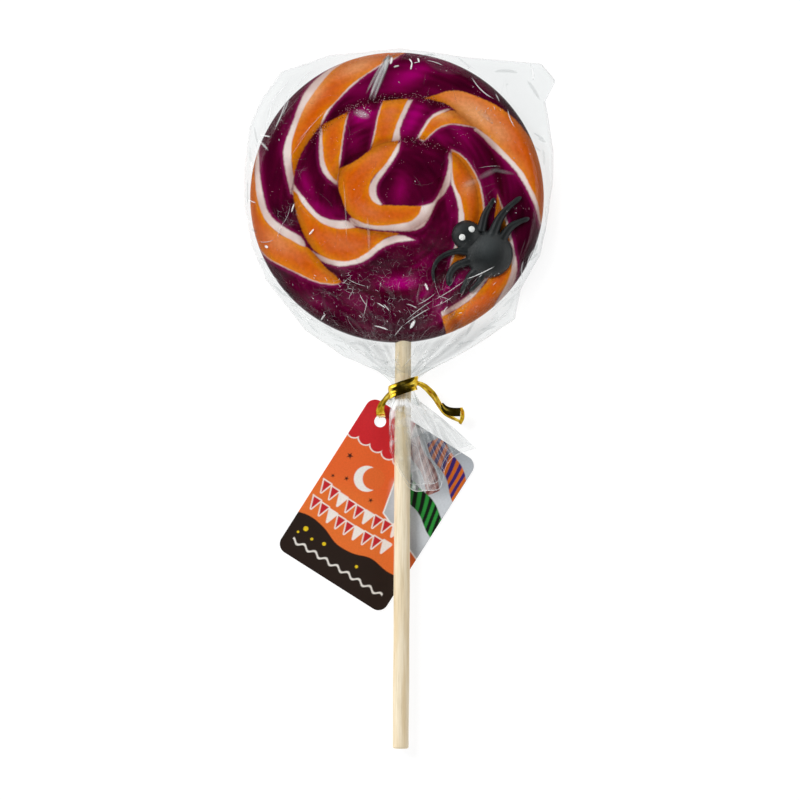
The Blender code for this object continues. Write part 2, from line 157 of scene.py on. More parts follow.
def paint(piece, name, values):
    layer = piece.data.attributes.new(name, "FLOAT", "POINT")
    layer.data.foreach_set("value", np.asarray(values, dtype=np.float32).ravel())


def smoothLine(points, steps=8):
    # Catmull-Rom curve through the points
    p = np.asarray(points, dtype=float)
    ends = np.vstack([2 * p[0] - p[1], p, 2 * p[-1] - p[-2]])
    t = (np.arange(steps) / steps)[None, :, None]
    a, b, c, d = (ends[i:len(ends) - 3 + i, None, :] for i in range(4))
    curve = (2 * b + (c - a) * t + (2 * a - 5 * b + 4 * c - d) * t ** 2
             + (3 * b - a - 3 * c + d) * t ** 3) / 2
    return np.vstack([curve.reshape(-1, p.shape[1]), p[-1:]])


def outline(*edges):
    # A closed outline of smooth edges that meet at corners
    return np.vstack([smoothLine(edge) if len(edge) > 2 else np.asarray(edge, float) for edge in edges])


def insideBy(x, y, shape):
    # Signed distance to a closed outline, in mm: above zero inside it
    nearest = np.full(x.shape, 1e9)
    inside = np.zeros(x.shape, bool)
    for (ax, ay), (bx, by) in zip(shape, np.roll(shape, -1, axis=0)):
        dx, dy = bx - ax, by - ay
        share = np.clip(((x - ax) * dx + (y - ay) * dy) / max(dx * dx + dy * dy, 1e-9), 0, 1)
        nearest = np.minimum(nearest, (x - ax - share * dx) ** 2 + (y - ay - share * dy) ** 2)
        crosses = (ay > y) != (by > y)
        if abs(dy) > 1e-9:
            inside ^= crosses & (x < ax + (y - ay) * dx / dy)
    return np.sqrt(nearest) * np.where(inside, 1, -1)


def insideAny(x, y, shapes):
    return np.max([insideBy(x, y, shape) for shape in shapes], axis=0)


def ripple(x, y, size, seed, count=20):
    # Sum of waves in random directions, each about size long, mostly within -1..1
    rng = np.random.default_rng(seed)
    total = np.zeros(np.shape(x))
    for _ in range(count):
        turn, phase = rng.uniform(0, 2 * math.pi, 2)
        length = size * rng.uniform(0.7, 1.5)
        total += np.sin(turned(x, y, turn)[0] * 2 * math.pi / length + phase)
    return total / math.sqrt(count)


def facets(x, y, size, seed, count=5):
    # Sum of folded waves: flat facets that meet at sharp ridges, as in a crumpled sheet
    rng = np.random.default_rng(seed)
    total = np.zeros(np.shape(x))
    for _ in range(count):
        turn, phase = rng.uniform(0, 2 * math.pi, 2)
        length = size * rng.uniform(0.6, 1.6)
        bend = 0.25 * ripple(x, y, size * 2.5, seed + 7, 6)
        total += zigzag(turned(x, y, turn)[0] / length + phase + bend)
    return total / math.sqrt(count)


def smoothStep(low, high, value):
    t = np.clip((value - low) / (high - low), 0, 1)
    return t * t * (3 - 2 * t)


def zigzag(value):
    # Folded wave: straight down from 0.5 to -0.5 and up again in each unit
    return 2 * np.abs(value % 1 - 0.5) - 0.5


def roundTurn(count):
    # Angles of points spaced evenly round a circle
    return np.arange(count) * 2 * math.pi / count


def unit(vectors):
    return vectors / np.linalg.norm(vectors, axis=1)[:, None]


def turned(x, y, angle):
    # Places along and across a direction
    c, n = math.cos(angle), math.sin(angle)
    return x * c + y * n, y * c - x * n


def spotsAt(x, y, spots):
    # Strength at the points of soft oval spots: x, y, half length, half width, turn in degrees, strength
    shares = []
    for cx, cy, long, short, lean, strength in spots:
        along, across = turned(x - cx, y - cy, math.radians(lean))
        shares.append(strength * np.exp(-(along / long) ** 2 - (across / short) ** 2))
    return np.array(shares)


# View, floor and light

view = {
    "middle": (0.97, -65.3),     # what the photograph's middle shows, mm
    "width": 258.1,              # what it shows from side to side, at the candy's half height
    "away": 1500.0,              # a long lens from straight above
    "sensor": 36.0,
}


def setCamera():
    data = bpy.data.cameras.new("camera")
    data.sensor_width, data.clip_start, data.clip_end = view["sensor"], 0.05, 20
    data.lens = view["sensor"] * view["away"] / view["width"]
    camera = bpy.data.objects.new("camera", data)
    half = cadBox[1][2] / mm * 0.35
    camera.location = (view["middle"][0] * mm, view["middle"][1] * mm, (half + view["away"]) * mm)
    bpy.context.scene.collection.objects.link(camera)
    bpy.context.scene.camera = camera


studio = {
    "floor": "#fbfbfb",
    "floorGlow": 0.8,            # a light table: much of the floor's white comes from below
    "floorLight": 1.07, "floorHalf": 3000.0,
    "floorDrop": 0.25,           # mm below the candy's back, room for the bag's back sheet
    "horizon": 0.78,             # light from round about, which keeps the shadows faint
    "zenith": 0.02,              # black overhead, so that the flat face mirrors nothing
    "lamps": (
        # name, place in m, size in m, watts, whether it leaves a mirror image; all low, so that only
        # steep slopes mirror them
        ("key_softbox", (-1.25, 0.62, 0.78), 1.2, 5.0, True),
        ("fill_softbox", (1.3, 0.1, 0.85), 0.9, 3.0, True),
        ("overhead_scrim", (-0.75, 0.50, 1.2), 0.6, 13.5, False),
        ("front_softbox", (-0.3, -1.3, 0.8), 0.8, 3.5, False),
    ),
}


def setStudio():
    material, add = newMaterial("paper_backdrop")
    below = add("Emission", ((1, 1, 1, 1), studio["floorLight"]))
    add("OutputMaterial", add("MixShader", (studio["floorGlow"], add("BsdfDiffuse", studio["floor"]), below)))
    half, drop = studio["floorHalf"], -studio["floorDrop"]
    corners = np.array([(-half, -half, drop), (half, -half, drop), (half, half, drop), (-half, half, drop)])
    meshPiece("floor", corners, [np.array([[0, 1, 2, 3]])], material)
    for name, place, size, watts, mirrored in studio["lamps"]:
        data = bpy.data.lights.new(name, "AREA")
        data.shape, data.size, data.energy = "DISK", size, watts
        lamp = bpy.data.objects.new(name, data)
        lamp.location = place
        aim = np.array([0, -0.05, 0]) - np.array(place)
        lean = math.acos(-aim[2] / np.linalg.norm(aim))
        lamp.rotation_euler = (lean, 0, math.atan2(aim[1], aim[0]) - math.pi / 2)
        lamp.visible_glossy = mirrored
        bpy.context.scene.collection.objects.link(lamp)
    world = bpy.data.worlds.new("studio")
    world.use_nodes = True
    world.node_tree.nodes.clear()
    add = partial(addNode, world.node_tree)
    height = add("SeparateXYZ", add("TexCoord").outputs["Generated"]).outputs["Z"]
    level, above = ((studio[key],) * 3 + (1,) for key in ("horizon", "zenith"))
    shade = add("ValToRGB", height, stops=((0.0, level), (0.5, level), (0.82, above)))
    add("OutputWorld", add("Background", shade))
    bpy.context.scene.world = world
    bpy.context.scene.view_settings.view_transform = "Standard"


setCamera()
setStudio()
print("studio set")


# Candy: a rope of boiled sugar, pulled in stripes, coiled up and pressed flat

candy = {
    "radius": 47.1, "oval": 0.3, "thick": 9.2,
    "faceRound": 4.0, "backRound": 2.6,
    "cols": 440, "faceRows": 156, "edgeRows": 16, "backRows": 18,
    # distance of the seam between coils from the middle, every eighth turn clockwise from seamStart
    "seamStart": math.radians(25),
    "seamRadii": (15.5, 12.8, 11.4, 12.6, 16.5, 20.0, 17.8, 19.2, 24.0, 27.2,
                  29.8, 31.8, 32.1, 33.8, 31.9, 33.0, 33.6, 34.2, 39.2),
    "seamDepth": 0.62, "seamWidth": 1.9,
}
midHeight = candy["thick"] / 2


def rimRadius(angle):
    return candy["radius"] + candy["oval"] * np.cos(2 * angle)


def seamDistance(x, y):
    # Distance along the ray to the nearest turn of the seam, and how far out along the coil it is
    radius, angle = np.hypot(x, y), np.arctan2(y, x)
    knots = smoothLine([(i, r) for i, r in enumerate(candy["seamRadii"])], 6)
    first = ((candy["seamStart"] - angle) % (2 * math.pi)) / math.radians(45)
    last = len(candy["seamRadii"]) - 1
    nearest = np.full(x.shape, 99.0)
    place = np.zeros(x.shape)
    for turn in range(3):
        along = first + 8 * turn
        away = np.where(along <= last, np.abs(radius - np.interp(along, knots[:, 0], knots[:, 1])), 99.0)
        place = np.where(away < nearest, along, place)
        nearest = np.minimum(nearest, away)
    return nearest, place


def cutDistance(x, y):
    # Distance to the crack at the rope's cut end, beyond the last of the seam
    last = len(candy["seamRadii"]) - 1
    turn = candy["seamStart"] - last * math.radians(45)
    along, across = turned(x, y, turn)
    return np.where(along > candy["seamRadii"][-1] - 0.5, np.abs(across), 99.0)


def grooveDepth(x, y):
    # Pinched groove along the seam: deepest on it, fading by a power of e on both sides
    away, place = seamDistance(x, y)
    seam, cut = (np.exp(-np.sqrt(off ** 2 + 0.12) / candy["seamWidth"]) for off in (away, cutDistance(x, y)))
    return candy["seamDepth"] * np.maximum(np.clip(place / 3, 0, 1) * seam, cut)


# Stripes, each an outline of edges in mm from the candy's middle, as they lie on the face

orangeStripes = (
    # outer coil, upper left
    outline([(2.8, 47.6), (-2, 47.5), (-7, 46.9), (-15, 44.4), (-20, 41.5), (-25, 36), (-30, 28.5),
             (-33.5, 19),
             (-34, 15), (-33.8, 10), (-33.2, 6.5)],
            [(-33.2, 6.5), (-32, 11), (-30, 15.5), (-27.6, 19), (-24.7, 22.9)],
            [(-24.7, 22.9), (-23, 27.2), (-20, 30.3), (-15, 35.8), (-10, 39.5), (-5, 42.8), (0, 45.2),
             (4.2, 47.4)]),
    # rim on the left, and the lower left leaf
    outline([(-44.6, 16.5), (-45.8, 10), (-45.6, 5), (-45, 0), (-43.5, -5), (-41.5, -8.5), (-37.5, -12),
             (-34, -13.8), (-31, -15.5), (-28.8, -16.1)],
            [(-28.8, -16.1), (-25.5, -19.4), (-23, -22.6), (-20, -25), (-17.9, -27.3)],
            [(-17.9, -27.3), (-20, -28), (-26, -27.2), (-33, -24), (-40, -20.5), (-43, -18),
             (-46.2, -13.5)],
            [(-47.4, -8), (-48.4, 0), (-48, 8), (-46, 16.5)]),
    # second coil: a loop on the left
    outline([(-24.2, 23.1), (-24, 17), (-23.5, 12), (-22.3, 8.5), (-20.5, 6), (-19.2, 5)],
            [(-18.5, 9.2), (-18.5, 12), (-17.8, 17), (-16.8, 23), (-15.8, 27.5)],
            [(-17, 26.9), (-20, 25.3), (-24.2, 23.1)]),
    # second coil: the broad one at the top
    outline([(-4.6, 31), (-6, 26), (-7, 21), (-8.4, 15)], [(-6, 15.6), (-1.5, 17.2)],
            [(-1.8, 17.6), (0, 23.5), (1.5, 27), (3.7, 31.6)], [(3.7, 31.6), (0, 31.4), (-4.6, 31)]),
    # second coil, upper right, which runs into the outer coil's big one
    outline([(6.9, 18.6), (9, 22), (11, 25), (14, 26.8), (17.5, 27.9), (21, 27.6)],
            [(26, 24), (25, 22.6), (22, 23.2), (18.5, 23.6), (15.5, 23.2), (13, 22), (11, 20.3),
             (9, 18.2)]),
    outline([(8.6, 31.7), (13, 33), (16, 34), (19.5, 34.2), (24, 33), (32, 29.5), (38, 25), (41.5, 21),
             (43.4, 18.5), (45.5, 14.5)],
            [(46.8, 9), (48.2, 3), (48.2, -3), (47.2, -9)],
            [(46.3, -8), (45.5, -3), (44.5, 0), (42.5, 4), (40, 8.5), (34, 15), (31, 18), (28, 20.5),
             (25, 22.6)],
            [(20, 27), (16, 29.8), (12, 31.1), (8.6, 31.7)]),
    # the hook in the middle
    outline([(0.6, 18.2), (0, 16.5), (-2, 13), (-4, 10), (-7, 7), (-8.3, 5), (-8.9, 2.5), (-8.7, 0.5),
             (-7.5, -1.5),
             (-5.5, -2.6)],
            [(-5.5, -2.6), (0, -2.7), (5, -2.9), (8.1, -2.9)],
            [(8.1, -2.9), (7, -5.5), (5, -7.5), (2, -8.5), (-5, -9.3), (-10, -8.7), (-14.5, -6.7)],
            [(-14.5, -6.7), (-16.5, -4), (-18, 0), (-18.9, 3), (-19, 6), (-18.6, 9.3)],
            [(-18.6, 9.3), (-15, 10.8), (-12, 12.6), (-8.5, 15.3), (-5, 17.5), (0.6, 18.2)]),
    # second coil, lower left
    outline([(-33.6, 2.2), (-32, 1), (-30.5, -2), (-28, -5), (-25, -7.7), (-22, -9.3), (-18, -10.2),
             (-13, -9.9),
             (-7, -10.9), (0, -11.6), (0.3, -12.2)],
            [(0.3, -12.2), (-3, -13), (-6, -15), (-9, -17.5), (-12, -19.5), (-15, -20.5), (-18, -20.7),
             (-22, -20),
             (-25, -18.5), (-27.2, -16.6)],
            [(-27.2, -16.6), (-29, -14), (-30.5, -11), (-32.5, -5), (-33.6, 2.2)]),
    # second coil, right: the leaf that runs under the spider
    outline([(17.6, 15), (20, 13.8), (22.5, 11.5), (24.5, 8.5), (26, 5.5), (27, 2), (27.8, -4), (27.3, -9),
             (25.5, -14), (21.5, -19.8), (17, -22.6)],
            [(17, -22.6), (20, -14), (21.5, -8), (21.2, -4), (20.3, 0), (19, 2.5), (18, 6), (17.7, 10),
             (17.6, 15)]),
    # outer coil, right and bottom: the long crescent with the cut end
    outline([(32.3, 0.8), (33.5, -3), (34.7, -7), (36, -12), (36.6, -17), (36.9, -23), (35.4, -27.8),
             (33, -31.6),
             (31.2, -35)],
            [(27.4, -39), (22, -42.1), (16, -45)], [(15.8, -43.7), (14.4, -38.4)],
            [(14.4, -38.4), (18, -36.8), (24, -32.7), (26.5, -30), (29.3, -26.3), (31, -19), (31.4, -12),
             (31.5, -6), (32.3, 0.8)]),
)

ivoryStripes = (
    outline([(-9, 46.7), (-15, 44.95), (-20, 42.6), (-25, 39.2), (-30, 33.5), (-34, 23.5), (-36.6, 16),
             (-36.6, 12), (-36, 8), (-35, 3.5), (-34.1, 0.3)],
            [(-32.9, 6.5), (-33.6, 12), (-33, 19), (-29.5, 28), (-24, 35.6), (-15, 43.6)]),
    outline([(-25.2, 23.2), (-23.4, 27.6), (-20.4, 30.8), (-15.3, 36.3), (-10, 40), (-5, 43.3), (0, 45.7),
             (3, 47.2)],
            [(0, 44.6), (-10, 39), (-20, 29.8), (-24.2, 23)]),
    outline([(-44.2, 17.5), (-44.1, 10), (-43.6, 5), (-42.6, 0), (-41.5, -4), (-39, -7.4), (-34, -10.8),
             (-31, -12.5), (-29.5, -14.4)],
            [(-29, -17), (-34, -14.5), (-41.5, -9), (-45.5, -1), (-46, 10), (-45, 16.5)]),
    outline([(-46.4, -14), (-43.2, -18.5), (-40, -21), (-33, -24.5), (-26, -27.7), (-20, -28.45),
             (-17.7, -27.6)],
            [(-20, -27.5), (-33, -23.5), (-43, -17.5)]),
    outline([(-25, 22.9), (-25.2, 18), (-25.2, 13), (-24.5, 9), (-22.5, 6), (-20, 4), (-18.9, 3.6)],
            [(-18.6, 9.3), (-17.9, 12), (-17.3, 17), (-16.3, 23), (-15.2, 27.8)], [(-20, 20), (-25, 22.9)]),
    outline([(-4.9, 30.8), (-6.5, 26), (-7.5, 21), (-8.9, 15)], [(-7, 18), (-3, 30)]),
    outline([(-2, 17.6), (1, 18.1), (1.2, 22), (3.2, 27), (5.3, 31.4)], [(3, 31.5), (-1, 24)]),
    outline([(5.9, 18.6), (7.9, 22), (10, 25.2), (12, 27), (15, 28.3), (18, 28.7)], [(14, 26), (8.5, 19)]),
    outline([(6.9, 18.5), (8.6, 17.6), (11.2, 19.9), (13.2, 21.6), (15.5, 22.7), (18.5, 23.1), (25, 22.1)],
            [(25, 23), (15, 23.8), (9, 20)]),
    outline([(24.6, 21.6), (27.3, 19.2), (30, 16.3), (33, 13.5), (36, 10.5), (38.5, 7.5), (41, 3.5),
             (43, -0.5),
             (44.5, -4), (45.9, -9.5)],
            [(47.5, -8), (45.5, 0), (40.5, 9), (31, 18.6), (25, 23)]),
    outline([(1.4, 17.9), (0.4, 14.2), (-1.8, 10.5), (-4, 7.5), (-6, 4.5), (-6.5, 2), (-6, 0),
             (-4.6, -2.3)],
            [(-5, -3), (-9, -2), (-9.5, 3), (-5, 10), (-1, 17)]),
    outline([(17.2, 15.4), (16.4, 13.5), (16.4, 11), (15.9, 8), (14.6, 4), (13, 0.6), (11, -1.8),
             (7.6, -2.7)],
            [(4, -6), (-5, -8.5), (-14.6, -6.5), (-15.2, -8.9)],
            [(-13, -9.6), (-10, -10.2), (-5, -10.9), (0, -11.1), (3, -11.2), (6, -10.8), (8.5, -9.6),
             (10.3, -7.2),
             (11.8, -4), (13.1, -1.4), (15.2, 0.7), (17, 4), (17.8, 8), (17.8, 12), (17.2, 15.4)]),
    outline([(-33.4, 5), (-31.5, 2), (-29.8, 0), (-27.5, -3), (-25, -5.5), (-22, -6.9), (-19, -7.4),
             (-16, -7.4),
             (-14.2, -8.3)],
            [(-13, -10), (-18, -11), (-25, -8.5), (-31, -2), (-34, 1)]),
    outline([(-27.6, -17.4), (-26, -19.3), (-24, -21), (-21, -22), (-18, -22.5), (-12, -21.5), (-9, -20),
             (-6, -17.5),
             (-3, -15.8), (0, -14.8), (3, -14.4), (6.4, -14)],
            [(6.4, -14), (4, -12.9), (2, -12.2), (-0.5, -11.9)],
            [(-6, -14), (-15, -19.8), (-24, -18.5), (-27.6, -17)]),
    outline([(17.3, 15.6), (20.3, 14.2), (22.9, 11.8), (25, 8.6), (26.5, 5.5), (27.6, 2), (28.4, -4),
             (27.9, -9),
             (26, -14.4), (21.7, -20.6), (16.6, -23)],
            [(16.6, -23), (18.4, -15), (19.5, -9), (19.6, -4), (18.8, 0), (17.9, 2.5), (17.1, 6),
             (17.3, 15.6)]),
    outline([(32.2, 1.8), (34.2, -3), (35.5, -7), (36.9, -12), (37.9, -17), (38.9, -23), (37.8, -28),
             (35.3, -31.6), (32.8, -35.4)],
            [(31, -35), (35, -27), (36, -17), (33, -5)]),
    outline([(13.9, -36.8), (16, -35.8), (19, -34), (22, -32), (24.5, -29.5), (27.2, -25.3)],
            [(29.5, -26), (24, -33), (14.4, -39)]),
)

# Painted light and shade on the purple: paler where light comes through the sugar, and (below zero) darker
# where it lies deep, as spotsAt takes them
paintedSugarGlows = (
    (3.5, 38.5, 9.5, 3.4, 28, 0.85), (0.5, 34.6, 4.5, 2, 10, 0.5), (-10, 36, 8, 3.6, 38, 0.35),
    (9, 43, 5, 2, 5, 0.35), (24, 38, 9, 2.2, -30, 0.2), (5, 25.5, 7.5, 2.8, 60, 0.9),
    (-11.4, 26.4, 4.6, 3.2, 10, 1), (-13.5, 20, 7, 2.4, 75, 0.35), (1, 2.6, 6, 2.6, 82, 0.58),
    (1.3, -27.9, 7, 2.6, 0, 0.95), (8, -22, 6, 2.2, 30, 0.3), (22, 19, 9, 2.6, -48, 0.5),
    (14.5, 24.3, 5, 1.4, 12, 0.5), (30, 5, 8, 2.2, -75, 0.28), (-29.2, 4.6, 6, 2.2, -60, 0.62),
    (-24.5, -3.8, 6, 2, -36, 0.55), (-20, -4.6, 6, 1.8, -10, 0.3), (9, -29.6, 4.5, 2.4, 60, 0.55),
    (18, -27.8, 5, 2, 35, 0.75), (13.4, -35.5, 4.5, 2.6, 70, 0.55), (-13, -33, 7, 3.5, -40, 0.25),
    (-42.6, 2, 11, 1.3, 95, 0.3), (-37.6, 17, 10, 1.2, 74, 0.3), (-29, -31, 10, 3, -38, 0.25),
    (17, -2, 8, 1.6, -80, 0.35), (-5, -38.5, 6, 2, -20, 0.2), (-31, 14, 7, 1.6, 65, 0.35),
    (34.6, 11, 9, 1.6, -50, 0.3), (6, 10, 9, 4, 0, -0.32), (-3, 5.5, 4, 3, 0, -0.3),
    (8, 31.6, 7, 2.6, 8, -0.15), (-4, 30.8, 5, 1.8, 15, -0.35), (24, 35.5, 9, 3.5, -25, -0.35),
    (37, 27, 8, 3, -55, -0.4), (-21, 29, 7, 2.6, 45, -0.45), (-25, 13, 6, 2.6, 80, -0.4),
    (-40, 10, 12, 2.4, 85, -0.45), (-38, -5, 6, 2.6, -50, -0.4), (41, -12, 10, 4, -80, -0.5),
    (40, -24, 8, 3, 60, -0.45), (10, -7, 6, 3, 40, -0.25), (2, -41, 8, 4, 0, -0.6),
    (-37, -26, 9, 4, -50, -0.45), (-8, -20, 8, 3, -25, -0.4), (-22, -39, 9, 3.5, -35, -0.4),
    (24, -40, 6, 3, 35, -0.35), (-17, 8.5, 4, 2.4, 60, -0.45), (35, 15, 8, 2.4, -48, -0.2),
    (27, 14, 9, 1.8, -55, -0.25), (-26, 3, 4, 2, -60, -0.4), (12, -16, 6, 3, 20, -0.2),
    (0.5, -33.4, 7, 2.4, 0, -0.35), (14.5, -23, 3.5, 2.2, 30, -0.4), (17, 41.5, 6, 2.4, -18, 0.4),
    (14.5, 19, 4, 2.4, -40, 0.5), (3, -22.8, 8, 2.4, 0, -0.2),
)


# Painted highlights: where the sugar's colour is painted paler, standing in for the soft sheen of the lamps
# on sugar and film
paintedSugarHighlights = (
    (25.5, 26.8, 9.5, 3.6, -35, 0.95), (32.5, 21.5, 6, 3, -50, 0.7), (-28, 31.8, 8, 2.2, 50, 0.75),
    (-12.5, 42.2, 8, 2.4, 24, 0.8), (-20.5, 38.8, 5, 1.6, 38, 0.3), (-38, -14.5, 6, 3.6, -35, 0.4),
    (23.4, 3.8, 3.2, 2, 60, 0.6), (-6.5, 13, 5, 2.2, 40, 0.22), (36, 14.5, 8, 2, -50, 0.25),
    (-17, -15, 7, 2.2, -15, 0.18), (-2.2, 26.5, 4, 2.2, 75, 0.22), (25, -36.5, 6, 2, 35, 0.08),
    (14.8, 26.4, 4, 2, 12, 0.55), (-9, -4.6, 5, 1.8, -25, 0.2),
)

# Where the seam is gritty with sugar crystals: x, y, reach
grittySeams = ((8, 16, 6), (-14, 29.5, 5), (-4, 31, 6), (9, 31, 5), (17, 22, 2.5), (-24, 21, 2.5))


def candySection():
    # Half section from the face's middle to the back's: radius share of the rim and height
    flat = candy["radius"] - candy["faceRound"]
    thick, top, low = candy["thick"], candy["faceRound"], candy["backRound"]
    face = np.linspace(0, flat, candy["faceRows"], endpoint=False)[1:]
    turn = np.linspace(math.pi / 2, 0, candy["edgeRows"])
    under = np.linspace(0, -math.pi / 2, candy["edgeRows"])
    back = np.linspace(candy["radius"] - low, 0, candy["backRows"], endpoint=False)[1:]
    radius = np.concatenate([face, flat + top * np.cos(turn),
                             candy["radius"] - low + low * np.cos(under), back])
    height = np.concatenate([np.full(len(face), thick), thick - top + top * np.sin(turn),
                             low + low * np.sin(under), np.zeros(len(back))])
    return radius, height


def makeCandy(material):
    # Section turned round the middle, stretched to the oval rim, then lowered by the seam's groove
    radius, height = candySection()
    angle = roundTurn(candy["cols"])
    reach = radius[:, None] * rimRadius(angle) / candy["radius"]
    x, y = reach * np.cos(angle), reach * np.sin(angle)
    straight = candy["thick"] - candy["faceRound"] - candy["backRound"]
    facing = np.clip((height - candy["backRound"]) / straight, 0, 1)
    grain = 0.07 * ripple(x, y, 1.3, 3, 30) * np.exp(-seamDistance(x, y)[0]) + 0.05 * ripple(x, y, 11, 5)
    z = height[:, None] - facing[:, None] * (grooveDepth(x, y) - grain + 0.05)
    points, faces = closedTube(gridPoints(x, y, z), (0, 0, candy["thick"]), (0, 0, 0), turned=True)
    piece = meshPiece("candy_disc", points, faces, material)
    x, y = points[:, 0], points[:, 1]
    paint(piece, "orange", insideAny(x, y, orangeStripes))
    paint(piece, "ivory", insideAny(x, y, ivoryStripes))
    away = seamDistance(x, y)[0]
    paint(piece, "seam", np.minimum(away, cutDistance(x, y)))
    # painted glow where light comes through the purple, and painted shade where it lies deep
    paintedGlows = spotsAt(x, y, paintedSugarGlows)
    paint(piece, "glow", np.clip(paintedGlows, 0, None).max(axis=0) + 0.7 * np.clip(paintedGlows, None, 0).min(axis=0))
    # painted highlight spots
    paint(piece, "shine", spotsAt(x, y, paintedSugarHighlights).max(axis=0))
    crystals = spotsAt(x, y, [(cx, cy, spread, spread, 0, 0.85) for cx, cy, spread in grittySeams])
    paint(piece, "grit", np.exp(-(away / 1.1) ** 2) * crystals.max(axis=0))
    # strands drawn out along the rope: streaks that follow the turns of the coil
    out, turn = np.hypot(x, y), np.arctan2(y, x)
    drawn = ripple(out + 2.2 * np.sin(turn + 0.6), 3.5 * np.sin(turn) + 3.5 * np.cos(2 * turn), 2.1, 9, 26)
    paint(piece, "strand", drawn * np.clip(out / 16, 0.3, 1))
    # mask for the painted shade towards the rim
    paint(piece, "rim", smoothStep(-4.5, -0.4, out - rimRadius(turn)))
    return piece


def boiledSugar():
    # Pulled and pressed boiled sugar: glassy, light goes a little way in, fine bubbles along the seams
    material, add = newMaterial("boiled_sugar")
    place = add("TexCoord").outputs["Object"]
    orange, ivory, seam, glow, strand, grit, shine, rim = (
        add("Attribute", attribute_name=name).outputs["Fac"]
        for name in ("orange", "ivory", "seam", "glow", "strand", "grit", "shine", "rim"))
    cloud = add("TexNoise", (place, 1 / (11 * mm), 3.0))
    fine = add("TexNoise", (place, 1 / (1.1 * mm), 3.0))
    uneven = add("MapRange", (cloud, 0.35, 0.68, -0.08, 0.08))
    streak = add("MapRange", (strand, -1.5, 1.5, -0.15, 0.15))
    varied = add("Math", (uneven, streak), operation="ADD")
    through = add("Math", (glow, varied), operation="ADD")
    scaled = add("MapRange", (through, -0.5, 0.97))
    purple = add("ValToRGB", scaled,
                 stops=((0.0, "#22000d"), (0.35, "#500126"), (0.62, "#760242"), (1.0, "#a8006e")))
    # orange is golden where it is thin, at its edges and along the seams, and deep in its middle
    deep = add("MapRange", (orange, 0.1, 3.6, 0.0, 0.75))
    thick = add("MapRange", (seam, 0.0, 5.0, -0.25, 0.12))
    warm = add("Math", (deep, thick), operation="ADD")
    warm = add("Math", (warm, varied), operation="ADD", use_clamp=True)
    peel = add("ValToRGB", warm,
               stops=((0.0, "#e28606"), (0.3, "#dd7004"), (0.6, "#d86004"), (1.0, "#d4570c")))
    # painted highlight: the orange is paled where the highlight spots lie, and a little along the strands
    highlightAndStreak = add("MapRange", (strand, -1.2, 1.2, 0.0, 0.07))
    highlightAndStreak = add("Math", (shine, 0.78, highlightAndStreak), operation="MULTIPLY_ADD", use_clamp=True)
    peel = add("Mix", (highlightAndStreak, peel, "#f4b57e"))
    mottle = add("ValToRGB", fine, stops=((0.36, "#f2eee9"), (0.6, "#ffffff")))
    peel = add("Mix", (1.0, peel, mottle), blend_type="MULTIPLY")
    chalk = add("ValToRGB", cloud, stops=((0.3, "#d2b6b0"), (0.6, "#f0dfd9")))
    wander = add("MapRange", (fine, 0.3, 0.7, -0.1, 0.1))
    ivoryEdge = add("Math", (ivory, wander), operation="ADD")
    orangeEdge = add("Math", (orange, wander), operation="ADD")
    ivoryShare = add("MapRange", (ivoryEdge, -0.14, 0.62), interpolation_type="SMOOTHSTEP")
    orangeShare = add("MapRange", (orangeEdge, -0.3, 0.36), interpolation_type="SMOOTHSTEP")
    beside = add("MapRange", (ivoryEdge, -1.4, 0.1, 0.0, 0.6), interpolation_type="SMOOTHSTEP")
    bled = add("Mix", (beside, purple, "#94185a"))
    striped = add("Mix", (ivoryShare, bled, chalk))
    striped = add("Mix", (orangeShare, striped, peel))
    # each strand is darkened by painted shade as it turns down into the seam, and the seam itself is a thin
    # brown crack
    seamShade = add("ValToRGB", add("MapRange", (seam, 0.0, 3.2), interpolation_type="SMOOTHSTEP"),
                 stops=((0.0, "#d2c0bc"), (1.0, "#ffffff")))
    shaded = add("Mix", (1.0, striped, seamShade), blend_type="MULTIPLY")
    crack = add("MapRange", (seam, 0.0, 0.4, 0.22, 0.0))
    creased = add("Mix", (crack, shaded, "#3a1008"))
    # painted shade: the colour is darkened towards the rounded rim
    rimShade = add("ValToRGB", rim, stops=((0.0, "#ffffff"), (1.0, "#c9bcb8")))
    creased = add("Mix", (1.0, creased, rimShade), blend_type="MULTIPLY")
    # bubbles and sugar dust: small pale specks, partly the dust's own white and partly painted glints on
    # bubbles, thick along the seams and scattered elsewhere; dark specks in the gritty seams are painted
    # shade in small pits
    cells = add("TexVoronoi", (place, 1 / (0.36 * mm)))
    bubble = add("MapRange", (cells, 0.12, 0.36, 0.8, 0.0))
    patchy = add("TexNoise", (place, 1 / (5 * mm)))
    scatter = add("MapRange", (patchy, 0.52, 0.75, 0.0, 0.1))
    where = add("Math", (grit, scatter), operation="MAXIMUM")
    sparse = add("SeparateColor", cells.outputs["Color"])
    chosen = add("Math", (sparse.outputs[0], where), operation="LESS_THAN")
    sparkle = add("Math", (bubble, chosen), operation="MULTIPLY")
    pitted = add("Math", (grit, 0.7), operation="MULTIPLY")
    hole = add("Math", (sparse.outputs[1], pitted), operation="LESS_THAN")
    hole = add("Math", (hole, 0.45), operation="MULTIPLY")
    pocked = add("Mix", (hole, creased, "#26060c"))
    dusted = add("Mix", (sparkle, pocked, "#d8aab0"))
    rough = add("Math", (fine, bubble), operation="ADD")
    pits = add("Bump", {"Strength": 0.2, "Distance": 0.12 * mm, "Height": rough})
    shader = add("BsdfPrincipled", {"Base Color": dusted, "Roughness": 0.2, "IOR": 1.45,
                 "Specular IOR Level": 0.1, "Normal": pits, "Subsurface Weight": 0.1,
                 "Subsurface Radius": (1.0, 0.35, 0.25), "Subsurface Scale": 0.8 * mm})
    add("OutputMaterial", shader)
    return material


candyDisc = makeCandy(boiledSugar())
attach(candyDisc, "root")
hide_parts("candy")
print("candy made")


# Stick: a birch dowel

